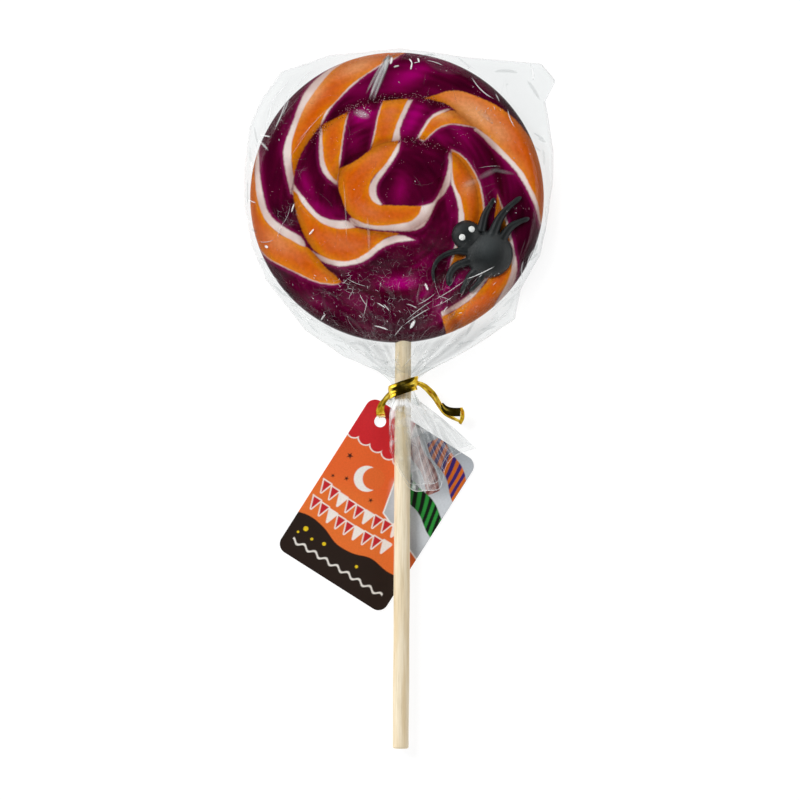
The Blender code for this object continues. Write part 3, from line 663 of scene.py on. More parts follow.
stick = {
    "radius": 2.6, "length": 150.0, "top": -27.7, "x": 2.0, "lean": math.radians(0.35),
    "chamfer": 0.4, "cols": 72, "rows": 160, "wobble": 0.03,
}


def stickX(y):
    return stick["x"] + (y + candy["radius"]) * math.tan(stick["lean"])


def nearStick(x, y, reach):
    # 1 on the stick's middle line, falling off beside it
    return np.exp(-((x - stickX(y)) / reach) ** 2)


def stickHump(x, y, room):
    # Height over its middle of something that lies on the stick and eases down on both sides
    off = np.clip(np.abs(x - stickX(y)) / 7.0, 0, 1)
    return (stick["radius"] + room) * 0.5 * (1 + np.cos(math.pi * off))


def makeStick(material):
    # Circle carried down the dowel's middle line, drawn in at both ends by the chamfer
    steps = np.linspace(0, stick["length"], stick["rows"])
    ends = np.array([0, stick["chamfer"] * 0.5, stick["chamfer"]])
    down = np.sort(np.concatenate([steps[1:-1], ends, stick["length"] - ends]))[:, None]
    fromEnd = np.minimum(down, stick["length"] - down)
    radius = stick["radius"] - np.clip(stick["chamfer"] - fromEnd, 0, None) * 0.8
    radius = radius + stick["wobble"] * ripple(down, down * 0, 30, 8)
    turn = roundTurn(stick["cols"])
    y = stick["top"] - down
    rings = gridPoints(stickX(y) + radius * np.cos(turn), y, midHeight + radius * np.sin(turn))
    top, foot = ((stickX(end), end, midHeight) for end in (stick["top"], stick["top"] - stick["length"]))
    return meshPiece("birch_stick", *closedTube(rings, top, foot), material)


def birch():
    # Sanded birch: pale cream, fine grain streaks along the dowel and a few darker flecks
    material, add = newMaterial("sanded_birch")
    place = add("TexCoord").outputs["Object"]
    stretched = add("Mapping", {"Vector": place, "Scale": (1 / (0.5 * mm), 1 / (14 * mm), 1 / (0.5 * mm))})
    grain = add("TexNoise", (stretched, 1.0, 5.0, 0.65))
    broad = add("Mapping", {"Vector": place, "Scale": (1 / (2.2 * mm), 1 / (30 * mm), 1 / (2.2 * mm))})
    patch = add("TexNoise", (broad, 1.0))
    tone = add("ValToRGB", grain, stops=((0.3, "#d8c8a8"), (0.5, "#eadcbf"), (0.7, "#f2e7d0")))
    shade = add("ValToRGB", patch, stops=((0.35, "#f2e9da"), (0.6, "#ffffff")))
    colour = add("Mix", (1.0, tone, shade), blend_type="MULTIPLY")
    bump = add("Bump", {"Strength": 0.35, "Distance": 0.08 * mm, "Height": grain})
    shader = add("BsdfPrincipled", {"Base Color": colour, "Roughness": 0.6, "Normal": bump})
    add("OutputMaterial", shader)
    return material


birchStick = makeStick(birch())
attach(birchStick, "root")
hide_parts("stick")
print("stick made")


# Spider: moulded sugar paste with two white eye dots

spider = {
    "base": 9.35,
    "body": (29.7, -18.4, 7.65, 4.1), "head": (22.4, -12.3, 4.85, 3.3),     # x, y, radius, height
    "eyes": ((20.95, -13.05), (23.95, -10.5)), "eyeRadius": 1.05, "eyeHeight": 0.55, "eyeSunk": 0.05,
    # bends of each leg from the body to its tip, and its width at either end
    "legs": (
        (((27.0, -11.2), (28.3, -5.8), (29.9, -2.8), (31.4, -0.3)), 3.0, 1.5),
        (((30.6, -12.6), (32.9, -7.2), (36.0, -3.2), (40.0, 0.1)), 3.6, 1.7),
        (((33.8, -13.4), (36.4, -9.8), (39.4, -8.0), (42.6, -6.8)), 3.2, 1.6),
        (((24.0, -17.8), (18.5, -17.6), (13.6, -19.8), (11.6, -23.6), (12.0, -27.6)), 2.4, 1.1),
        (((23.5, -20.5), (18.8, -22.4), (16.9, -25.5), (16.9, -28.7)), 2.7, 2.1),
        (((26.0, -23.0), (22.9, -26.2), (20.5, -31.2)), 2.8, 1.6),
        (((28.5, -23.5), (26.4, -27.2), (23.2, -30.6)), 2.4, 1.4),
    ),
    "voxel": 0.2,
    "paintedHighlightAt": (28.8, -15.6, 12.6),     # where the painted highlight on the body is strongest
}


def ball(x, y, z, radius, height, rows=20, cols=32):
    # Flattened ball: rings of latitude, each a circle
    lat, lon = np.linspace(math.pi / 2, -math.pi / 2, rows)[1:-1, None], roundTurn(cols)
    rings = gridPoints(x + radius * np.cos(lat) * np.cos(lon), y + radius * np.cos(lat) * np.sin(lon),
                       z + height * np.sin(lat))
    return closedTube(rings, (x, y, z + height), (x, y, z - height), turned=True)


def taperedTube(route, radii, cols=14):
    # Circle carried along a route in mm, its radius changing
    ahead = unit(np.gradient(route, axis=0))
    side = unit(np.cross(ahead, (0, 0, 1.0)))
    above = np.cross(side, ahead)
    turn = roundTurn(cols)[:, None]
    rings = side[:, None] * np.cos(turn) + above[:, None] * np.sin(turn)
    return closedTube(route[:, None] + rings * radii[:, None, None], route[0], route[-1])


def joinShapes(shapes):
    # One set of points and faces from several
    points, quads, triangles, count = [], [], [], 0
    for shape, faces in shapes:
        points.append(shape)
        for f in faces:
            (quads if f.shape[1] == 4 else triangles).append(f + count)
        count += len(shape)
    return np.vstack(points), [np.vstack(quads), np.vstack(triangles)]


def legShape(bends, width, tip):
    # A tube that tapers from the body and is rounded off at its tip
    flat = smoothLine(bends, 8)
    share = np.linspace(0, 1, len(flat))
    radii = 1.06 * (width + (tip - width) * np.minimum(1, share * 1.35)) / 2
    radii[-3:] *= (0.93, 0.75, 0.35)
    route = np.column_stack([flat, spider["base"] + 0.35 * radii + 0.25])
    return taperedTube(route, radii)


def makeSpider(material):
    # Balls and tapering tubes, melted into one skin by a fine remesh and then flattened below
    base = spider["base"]
    shapes = [ball(x, y, base, radius, height) for x, y, radius, height in (spider["body"], spider["head"])]
    shapes += [legShape(*leg) for leg in spider["legs"]]
    rough = meshPiece("sugar_spider", *joinShapes(shapes), material)
    remesh = rough.modifiers.new("melt", "REMESH")
    remesh.mode, remesh.voxel_size = "VOXEL", spider["voxel"] * mm
    soften = rough.modifiers.new("soften", "SMOOTH")
    soften.factor, soften.iterations = 0.6, 5
    bpy.context.view_layer.update()
    melted = bpy.data.meshes.new_from_object(rough.evaluated_get(bpy.context.evaluated_depsgraph_get()))
    rough.modifiers.clear()
    rough.data = melted
    flatten = np.empty(len(melted.vertices) * 3)
    melted.vertices.foreach_get("co", flatten)
    flatten[2::3] = np.maximum(flatten[2::3], base * mm)
    melted.vertices.foreach_set("co", flatten)
    melted.update()
    melted.shade_smooth()
    return rough


def makeEyes(material):
    x, y, radius, height = spider["head"]
    shapes = []
    for ex, ey in spider["eyes"]:
        away = math.hypot(ex - x, ey - y) / radius
        z = spider["base"] + height * math.sqrt(1 - away ** 2) - spider["eyeSunk"]
        shapes.append(ball(ex, ey, z, spider["eyeRadius"], spider["eyeHeight"], 14, 24))
    return meshPiece("spider_eyes", *joinShapes(shapes), material)


def sugarPaste(name, colours, rough, highlightColour=None):
    # Moulded sugar paste: matt and dry, with the fine grain of icing sugar; on the body a painted highlight,
    # paler colour near one point on top
    material, add = newMaterial(name)
    place = add("TexCoord").outputs["Object"]
    grain = add("TexNoise", (place, 1 / (0.55 * mm), 4.0, 0.7))
    dust = add("TexNoise", (place, 1 / (4 * mm), 3.0))
    tone = add("ValToRGB", dust, stops=((0.3, colours[0]), (0.7, colours[1])))
    colour = tone.outputs[0]
    if highlightColour:
        # painted highlight: the colour is paled within a few mm of that point
        away = add("VectorMath", (place, tuple(v * mm for v in spider["paintedHighlightAt"])), operation="DISTANCE")
        high = add("MapRange", (away, 0.5 * mm, 6.0 * mm, 0.8, 0.0), interpolation_type="SMOOTHSTEP")
        colour = add("Mix", (high, colour, highlightColour)).outputs[2]
    bump = add("Bump", {"Strength": 0.7, "Distance": 0.14 * mm, "Height": grain})
    shader = add("BsdfPrincipled", {"Base Color": colour, "Roughness": rough, "Normal": bump})
    add("OutputMaterial", shader)
    return material


sugarSpider = makeSpider(sugarPaste("black_sugar_paste", ("#111415", "#1e2223"), 0.42, "#414546"))
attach(sugarSpider, "root")
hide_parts("spider")
spiderEyes = makeEyes(sugarPaste("white_icing_dots", ("#e2e4e2", "#f2f2ef"), 0.5))
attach(spiderEyes, "root")
print("spider made")


# Bag: clear cellophane, two sheets welded at the edge, draped over candy, spider and stick

bag = {
    # its edge clockwise from the top, mm
    "edge": ((1.0, 48.2), (23.5, 45.2), (46.5, 43.2), (51.2, 37.6), (47.8, 31.0), (50.4, 15.3),
             (50.2, 4.0), (48.4, -8.2), (46.0, -18.9), (39.8, -29.8), (38.0, -39.3), (23.9, -48.6),
             (11.9, -55.0), (5.6, -58.2), (-1.6, -58.2), (-8.0, -55.2), (-17.4, -51.1), (-29.7, -42.7),
             (-42.3, -26.4), (-46.8, -16.0), (-49.4, -1.5), (-49.2, 10.0), (-47.6, 22.7), (-43.9, 31.5),
             (-37.4, 40.6), (-21.6, 46.0)),
    "cols": 480, "rows": 130, "backRows": 50,
    "clear": 0.15,               # air between the film and what it lies on
    "lift": 3.4,                 # half its height at the rim of the candy
    "settle": 3.4,               # how soon the two sheets come together outside it
    "neck": (2.0, -60.0),        # where the folds run to
    "tent": (27.5, -16.5),       # middle of the low tent over the spider
    # where the film is crushed, with painted glint lines: x, y, reach, how much
    "crushed": ((-16.8, -28.5, 4.5, 1.0), (-5.0, -32.5, 4.5, 1.0), (7.0, -37.0, 6.0, 0.8),
                (-2.0, -35.0, 17.0, 0.4), (20.0, -32.0, 8.0, 0.4), (-37.5, 26.5, 5.0, 0.4),
                (-22.0, -33.0, 8.0, 0.3), (-35.2, -5.2, 3.2, 0.7)),
    "floor": -0.12,              # height of the back sheet under the candy
}


def bagEdge(angle):
    # Distance from the candy's middle to the bag's edge along a ray
    corners = np.array(bag["edge"])
    share = (np.arange(14) / 14)[None, :, None]
    points = (corners[:, None] * (1 - share) + np.roll(corners, -1, axis=0)[:, None] * share).reshape(-1, 2)
    at, reach = np.arctan2(points[:, 1], points[:, 0]), np.hypot(points[:, 0], points[:, 1])
    order = np.argsort(at)
    edge = np.interp(angle, at[order], reach[order], period=2 * math.pi)
    uneven = 0.18 * facets(47 * np.cos(angle), 47 * np.sin(angle), 7, 21)
    return np.maximum(edge + uneven, rimRadius(angle) + 0.9)


def neckFolds(x, y):
    # Folds that run to the neck like the ribs of a fan, stronger towards it
    dx, dy = x - bag["neck"][0], y - bag["neck"][1]
    away, turn = np.hypot(dx, dy), np.arctan2(dx, np.abs(dy) + 0.5)
    wander = 0.35 * ripple(x, y, 30, 41, 8)
    folds = 0.7 * zigzag(turn * 6.2 + wander) + 0.35 * zigzag(turn * 15.7 + 2 * wander)
    return folds * np.exp(-(away / 22) ** 2) * np.clip(away / 9, 0.2, 1)


def fanStreaks(x, y, seed):
    # Soft streaks that run to the neck: waves in the angle round it, bent a little with distance
    rng = np.random.default_rng(seed)
    dx, dy = x - bag["neck"][0], y - bag["neck"][1]
    away, turn = np.hypot(dx, dy), np.arctan2(dx, dy)
    waves = 0
    for often in (9, 14, 23, 37, 52):
        bend = 0.07 * np.sin(away / rng.uniform(7, 13) + rng.uniform(0, 6))
        waves = waves + np.sin(often * (turn + bend) + rng.uniform(0, 6)) * (9 / often) ** 0.4
    return waves / math.sqrt(3.6)


def overSpider(x, y):
    # Low round tent: a broad step that clears the legs, and a bell over body and head
    away = np.hypot(x - bag["tent"][0], y - bag["tent"][1])
    return 1.75 * (1 - smoothStep(15.5, 27, away)) + 3.0 * np.exp(-(away / 12) ** 2)


def bagHalf(x, y):
    # Half the bag's height outside the candy, and how far a point is past the rim and inside the edge
    radius, angle = np.hypot(x, y), np.arctan2(y, x)
    past, left = radius - rimRadius(angle), bagEdge(angle) - radius
    eased = bag["lift"] * np.exp(-np.clip(past + 0.7, 0, None) / bag["settle"]) * np.clip(left / 2.5, 0, 1)
    overStick = stickHump(x, y, 0.5) * smoothStep(-40, -48, y)
    return np.maximum(eased + 0.06, overStick * np.clip(left / 2.0, 0.5, 1)), past, left


def filmTop(x, y):
    # Height of the front sheet: on the candy, over the spider, and sinking to the edge outside the rim
    half, past, left = bagHalf(x, y)
    inward = np.clip(past + candy["faceRound"], 0, 3.3)
    drop = candy["faceRound"] - np.sqrt(candy["faceRound"] ** 2 - inward ** 2)
    onCandy = candy["thick"] - drop + bag["clear"]
    top = np.where(past > -0.7, np.minimum(onCandy, midHeight + half), onCandy) + overSpider(x, y)
    margin = smoothStep(-1.5, 2.5, past)
    loose = 0.06 * facets(x, y, 8.5, 31) * (1 - margin) + margin * 0.26 * facets(x, y, 9.5, 35)
    return top + 0.1 + (np.maximum(loose, -0.08) + np.abs(neckFolds(x, y)) * 0.9) * np.clip(left / 1.5, 0, 1)


def filmLow(x, y):
    # Height of the back sheet: on the floor under the candy, rising to the edge outside the rim
    half, past, left = bagHalf(x, y)
    rise = smoothStep(-candy["backRound"], 0.4, past)
    low = bag["floor"] + (midHeight - half - bag["floor"]) * rise
    loose = 0.35 * (facets(x, y, 6, 37) + 0.7) * smoothStep(-1.5, 2.5, past) * np.clip(left / 1.5, 0, 1)
    return np.maximum(low - loose, bag["floor"])


def makeBag(material):
    # Polar grid out to the edge; front and back sheets share the edge's points
    angle = roundTurn(bag["cols"])
    outer, rim = bagEdge(angle), rimRadius(angle)
    inner = int(bag["rows"] * 0.66)
    share = np.linspace(0, 1, inner + 1)[1:, None] ** 0.85
    margin = np.linspace(0, 1, bag["rows"] - inner + 1)[1:, None]
    radius = np.vstack([share * (rim - 4), (rim - 4) + (outer - rim + 4) * margin])
    x, y = radius * np.cos(angle), radius * np.sin(angle)
    front = gridPoints(x, y, filmTop(x, y))
    keep = np.unique(np.linspace(0, bag["rows"] - 2, bag["backRows"]).astype(int))[::-1]
    back = gridPoints(x, y, filmLow(x, y))[keep]
    rings = np.concatenate([front, back])
    skin = closedTube(rings, (0, 0, front[0, :, 2].mean()), (0, 0, bag["floor"]), turned=True)
    piece = meshPiece("cellophane_bag", *skin, material)
    # painted highlights and shade on the film: white along the neck folds, over the margin and along the
    # welded edge, a faint haze low on the candy, and white and grey streaks gathered toward the neck; the
    # back sheet gets less of it
    onMargin = smoothStep(0.0, 1.6, radius - rim)
    folds = np.clip(np.abs(neckFolds(x, y)) * 1.5 - 0.12, 0, 1)
    cloudy = np.clip(facets(x, y, 10, 43) * 1.2 + 0.1, 0, 1) * 0.018 * smoothStep(-6, -30, y)
    edge = np.exp(-((outer - radius) / 0.35) ** 2) * 0.55
    low = smoothStep(-34, -48, y) * onMargin
    gathered = low * (0.22 * fanStreaks(x, y, 45) - 0.15) * (1 - 0.85 * nearStick(x, y, 3.6))
    paintedHaze = folds * (0.12 + 0.15 * onMargin) * (1 - 0.5 * low) + cloudy + edge + 0.06 * onMargin * (1 - low)
    paintedHaze = np.clip(paintedHaze + gathered, -0.4, 1)
    paint(piece, "crease", np.concatenate([paintedHaze.ravel(), paintedHaze[keep].ravel() * 0.3, [0, 0]]))
    # mask for the painted glint lines of crushed film
    crushed = spotsAt(x, y, [(cx, cy, reach, reach, 0, most) for cx, cy, reach, most in bag["crushed"]])
    crushed = crushed.max(axis=0) * np.clip((outer - radius) / 1.5, 0, 1)
    paint(piece, "crinkle", np.concatenate([crushed.ravel(), 0 * crushed[keep].ravel(), [0, 0]]))
    return piece


# Creases pressed into the film, low ridges with a painted glint where they catch the light: from x, y, to x,
# y, bend, width in mm, whiteness of the glint
creases = (
    (31.5, -22.3, 22, -26.6, 0.3, 0.38, 0.85), (22.3, -26.5, 11.5, -33.4, 0.3, 0.32, 0.5),
    (11.8, -33.1, 3, -39.6, -0.3, 0.28, 0.55), (18.5, -31.6, 11, -35.6, 0.4, 0.26, 0.45),
    (11, -35.6, 2, -41.4, -0.3, 0.34, 0.65), (2, -41, -1, -44.8, 0.1, 0.5, 0.35),
    (-2.2, 46.4, -9, 31.2, -0.3, 1.44, 0.38), (-1.3, 46.6, -7.7, 30.6, -0.3, 1.3, 0.28),
    (-3.3, 45.4, -10, 33, -0.2, 1.1, 0.24), (-2.5, 46.4, -4.4, 39, -0.1, 1.8, 0.45),
    (7.9, -53.3, 12.9, -51, 0.5, 0.9, 0.75), (6.5, -56.6, 9.7, -52.8, -0.3, 0.8, 0.65),
    (-9.4, -49.4, -6.7, -52.1, 0.2, 1.3, 0.6), (8.4, -50.6, 10.8, -49.6, 0.3, 0.6, 0.6),
    (-1.6, 45.2, -2.2, 42.6, 0.1, 1.1, 0.8), (3.9, 44.6, 5, 42.6, 0.1, 0.6, 0.95),
    (4.9, 43.4, 4.4, 40.8, 0, 0.7, 0.85), (6.6, 44.8, 7.1, 43.2, 0.1, 0.8, 0.95),
    (6.9, 43.4, 5.4, 43.1, 0, 0.35, 0.7), (-1.2, 41.7, 0.8, 42.2, 0.1, 0.8, 0.55),
    (9.4, 44, 15, 42.2, 0.3, 0.35, 0.6), (23.8, 39, 31.4, 31.4, -0.9, 0.55, 0.55),
    (35.6, 28.4, 38, 22.2, -0.4, 0.5, 0.5), (31.6, 33.4, 33, 30.6, 0.1, 0.5, 0.5),
    (-42.6, -15.7, -41.4, -16.3, 0, 1.1, 0.85), (-28.4, -12.3, -26.6, -10.2, 0, 0.75, 0.85),
    (-34, -5, -33, -2, 0, 0.6, 0.85), (-36.4, -8.6, -38.2, -13.6, -0.7, 0.45, 0.3),
    (-39.5, -13.6, -44.6, -14.2, 0.6, 0.3, 0.45), (-34.4, -2, -37.4, -9.4, 0.8, 0.4, 0.25),
    (-24.6, -39.8, -22.8, -37.6, 0.1, 0.7, 0.6), (-32.8, -35.8, -28.2, -37.8, 0.2, 0.4, 0.5),
    (-7.6, -41.4, -2.6, -42.9, 0.2, 0.55, 0.85), (-6.6, -34, -3.6, -35.8, 0.1, 0.45, 0.8),
    (-4.4, -34.4, -2.4, -36.8, 0.1, 0.4, 0.7), (-16.6, -25.8, -9.4, -28.8, -0.5, 0.26, 0.42),
    (-14, -28.4, -15.6, -32.6, 0.4, 0.24, 0.35), (-12, -31, -9.6, -35, -0.3, 0.4, 0.5),
    (-9.6, -32.4, -11, -38.6, 0.3, 0.4, 0.35), (4.2, -42.4, 5.8, -39.6, 0, 1.3, 0.9),
    (9, -27.6, 10, -30.2, 0, 0.9, 0.85), (2.8, -34.4, 6.6, -36, 0.3, 0.45, 0.5),
    (14.8, -37.2, 16.4, -35.2, 0.1, 0.5, 0.6), (6.2, -34.8, 12.4, -30.8, -0.4, 0.4, 0.4),
    (12.4, -31.8, 17.6, -33.6, 0.3, 0.3, 0.4), (-44.6, 20, -40.6, 19.2, 0.2, 0.7, 0.6),
    (-40.4, 31, -42.6, 21.6, 0.5, 0.7, 0.4), (-38.2, 34.2, -41.6, 26.4, -0.4, 0.5, 0.45),
    (-34.8, 37.6, -39.6, 31.8, 0.1, 0.4, 0.6), (20.6, 3.2, 26.6, 5.4, 0.2, 2.4, 0.11),
    (25.2, 5.2, 33.5, 9.4, 0.3, 2.3, 0.11), (30.5, 8.6, 38.2, 7.2, 0.2, 1.6, 0.11),
    (26, 9.2, 33.4, 9.9, 0.3, 0.3, 0.28), (-35.8, 30.8, -39.6, 21.4, 0.3, 0.7, 0.42),
    (-34.6, 32, -37, 26, 0.1, 0.35, 0.5), (-17.2, 5.2, -16.2, -14.6, 0.2, 0.6, 0.14),
    (-9.6, -6, -9, -18, 0.2, 1.2, 0.12), (-32.6, 17, -21.8, 29, 0.2, 0.25, 0.3),
    (-34.6, 12.6, -27.2, 24, -0.2, 0.25, 0.22),
    # painted highlights: soft bright patches painted on the film over the sugar
    (-14.2, 27.4, -8.6, 25.6, 0.2, 3.2, 0.3), (26, 27.4, 31, 23.6, 0.3, 2, 0.1),
    (9, 43.5, 20, 39.5, -0.5, 2.4, 0.03), (-2, 46.6, -8.4, 30.8, -0.3, 3.4, 0.2),
)

scatteredCreases = (
    # how many, region (middle x, y, half width, half height), length, width, whiteness of the painted glint,
    # toward the neck
    # or any way
    (18, (-3, -34, 26, 11), (3.0, 9.0), (0.14, 0.24), (0.08, 0.26), True),
    (14, (16, -31, 20, 9), (2.0, 7.0), (0.14, 0.22), (0.08, 0.28), True),
    (34, (2, -34, 30, 10), (0.5, 1.9), (0.13, 0.30), (0.25, 0.90), True),
    (46, (0, 4, 40, 38), (3.0, 9.0), (0.12, 0.18), (0.04, 0.12), False),
    (16, (0, -35, 32, 9), (5.0, 12.0), (0.8, 2.2), (0.02, 0.05), True),
    (14, (-36, 8, 10, 24), (1.5, 5.0), (0.14, 0.24), (0.03, 0.09), False),
    (14, (-11, 27.2, 3.2, 1.6), (0.4, 1.2), (0.15, 0.30), (0.30, 0.80), False),
    (12, (29, 26, 5, 4), (0.6, 1.6), (0.20, 0.40), (0.15, 0.40), False),
    (30, (2, 4, 42, 42), (0.4, 0.9), (0.25, 0.40), (0.20, 0.60), False),
)


def randomCreases():
    # Seeded small creases, each as (x, y, x, y, bend, width, whiteness)
    rng = np.random.default_rng(77)
    neckX, neckY = bag["neck"]
    lines = []
    for count, (cx, cy, halfX, halfY), lengths, widths, whites, toNeck in scatteredCreases:
        x, y = cx + halfX * rng.uniform(-1, 1, count), cy + halfY * rng.uniform(-1, 1, count)
        turn = rng.uniform(0, math.pi, count)
        if toNeck:
            turn = np.arctan2(neckY - y, neckX - x) + rng.normal(0, 0.35, count)
        length = rng.uniform(*lengths, count)
        lines.append(np.column_stack([
            x, y, x + length * np.cos(turn), y + length * np.sin(turn),
            0.12 * length * rng.uniform(-1, 1, count),
            rng.uniform(*widths, count), rng.uniform(*whites, count)]))
    # long folds and edges in the bag's margin: painted highlights (white) on some, and painted shade (grey,
    # below zero) on those away from the light
    count, toNeck = 130, 70
    angle = rng.uniform(0, 2 * math.pi, count)
    angle[:toNeck] = np.radians(rng.normal(-90, 38, toNeck))
    rim, outer = rimRadius(angle), bagEdge(angle)
    start = rim + (outer - rim) * rng.uniform(0.1, 0.95, count)
    x, y = start * np.cos(angle), start * np.sin(angle)
    toward = np.arctan2(neckY - y, neckX - x)
    along = angle + math.pi / 2 + rng.normal(0, 0.5, count)
    turn = np.where(np.arange(count) < toNeck, toward + rng.normal(0, 0.22, count), along)
    length = rng.uniform(2.0, 8.0, count)
    pale = rng.uniform(0.25, 0.8, count) * np.where(rng.uniform(0, 1, count) < 0.42, -0.26, 0.8)
    lines.append(np.column_stack([
        x, y, x + length * np.cos(turn), y + length * np.sin(turn),
        0.1 * length * rng.uniform(-1, 1, count), rng.uniform(0.3, 1.3, count), pale]))
    return np.vstack(lines)


def makeCreases(material):
    # Each of the creases is a low ridge: points run along a bowed line and across its width, on the film's
    # height
    lines = np.vstack([np.array(creases), randomCreases()])
    x0, y0, x1, y1, bend, width, pale = (lines[:, i][:, None, None] for i in range(7))
    along = np.linspace(0, 1, 12)[None, :, None]
    across = np.linspace(-1, 1, 9)[None, None, :]
    length = np.hypot(x1 - x0, y1 - y0)
    sideX, sideY = -(y1 - y0) / length, (x1 - x0) / length
    taper = np.sqrt(np.clip(np.sin(math.pi * (0.03 + 0.94 * along)), 0, 1))
    offset = bend * 4 * along * (1 - along) + across * width * 0.5 * taper
    x = x0 + (x1 - x0) * along + sideX * offset
    y = y0 + (y1 - y0) * along + sideY * offset
    inside = bagEdge(np.arctan2(y, x)) - np.hypot(x, y)
    kept = inside.min(axis=(1, 2)) > 0.15
    x, y, width, pale = x[kept], y[kept], width[kept], pale[kept]
    z = filmTop(x, y) + 0.06 + (1 - across ** 2) * np.where(width > 1, 0.04, np.minimum(0.3 * width, 0.2))
    count, rows, cols = x.shape
    quads = gridFaces(rows, cols)
    faces = (quads[None] + (np.arange(count) * rows * cols)[:, None, None]).reshape(-1, 4)[:, ::-1]
    piece = meshPiece("film_creases", gridPoints(x, y, z).reshape(-1, 3), [faces], material)
    # painted glints, crisp across narrow ridges and soft across wide ones, and grey painted shade where the
    # whiteness is below zero
    crisp = np.clip(1.15 * (1 - np.abs(across) ** 1.5), 0, 1) * np.clip(np.sin(math.pi * along) * 1.8, 0, 1)
    soft = (1 - across ** 2) ** 1.5 * np.sin(math.pi * along)
    calm = 1 - 0.7 * nearStick(x, y, 2.8) * (y < -47)      # few show before the stick
    paint(piece, "crease", (pale * calm * np.where(width > 1.45, soft, crisp)).ravel())
    return piece


neck = {
    "from": -54.5, "to": -67.0, "pleats": 15, "cols": 240, "rows": 56,
    "wide": 3.7, "high": 3.25, "pinchAt": -61.4, "pinchHalf": 1.2, "flareUp": 6.5, "flareDown": 1.6,
}


def makeNeck(material):
    # Pleated tube round the stick, pinched by the tie; above it opens like a funnel into the bag
    down = np.linspace(0, 1, neck["rows"])[:, None]
    y = neck["from"] + (neck["to"] - neck["from"]) * down
    turn = roundTurn(neck["cols"])
    high, low = neck["pinchAt"] + neck["pinchHalf"], neck["pinchAt"] - neck["pinchHalf"]
    above = np.clip((y - high) / (neck["from"] - high), 0, 1)
    below = np.clip((low - y) / (low - neck["to"]), 0, 1)
    pleat = zigzag(turn * neck["pleats"] / (2 * math.pi) + 0.2 * np.sin(y * 0.6))
    pleat = pleat * (0.35 + 0.9 * (above ** 1.4 + below))
    wide = neck["wide"] + neck["flareUp"] * above ** 1.4 + neck["flareDown"] * below
    x = stickX(y) + (wide + pleat) * np.cos(turn)
    rise = np.sign(np.sin(turn)) * np.abs(np.sin(turn)) ** (1 + 1.5 * above)
    z = midHeight + (neck["high"] + 0.3 * below + 0.6 * pleat) * rise
    y = y + 0.25 * pleat
    faces = [gridFaces(neck["rows"], neck["cols"], closed=True)]
    piece = meshPiece("cellophane_neck", gridPoints(x, y, z).reshape(-1, 3), faces, material)
    # painted glints: white on the pleats' ridges, faded at both ends and before the stick
    ends = smoothStep(0.0, 0.25, down) * smoothStep(1.0, 0.85, down)
    calm = 1 - 0.75 * nearStick(x, y, 2.6)
    paint(piece, "crease", np.clip(pleat * 2.2 - 0.25, 0, 1) * 0.6 * ends * calm)
    return piece


tail = {
    # the hem's corners from left to right (x, y, z) in mm
    "hem": ((-2.4, -81.5, 5.4), (1.4, -89.5, 8.0), (5.0, -94.4, 6.4), (9.6, -94.6, 3.6),
            (13.9, -93.7, 2.4), (15.8, -87.0, 2.6), (19.0, -83.2, 2.5), (25.5, -80.9, 2.4)),
    "cols": 240, "rows": 130, "start": -64.6,
}


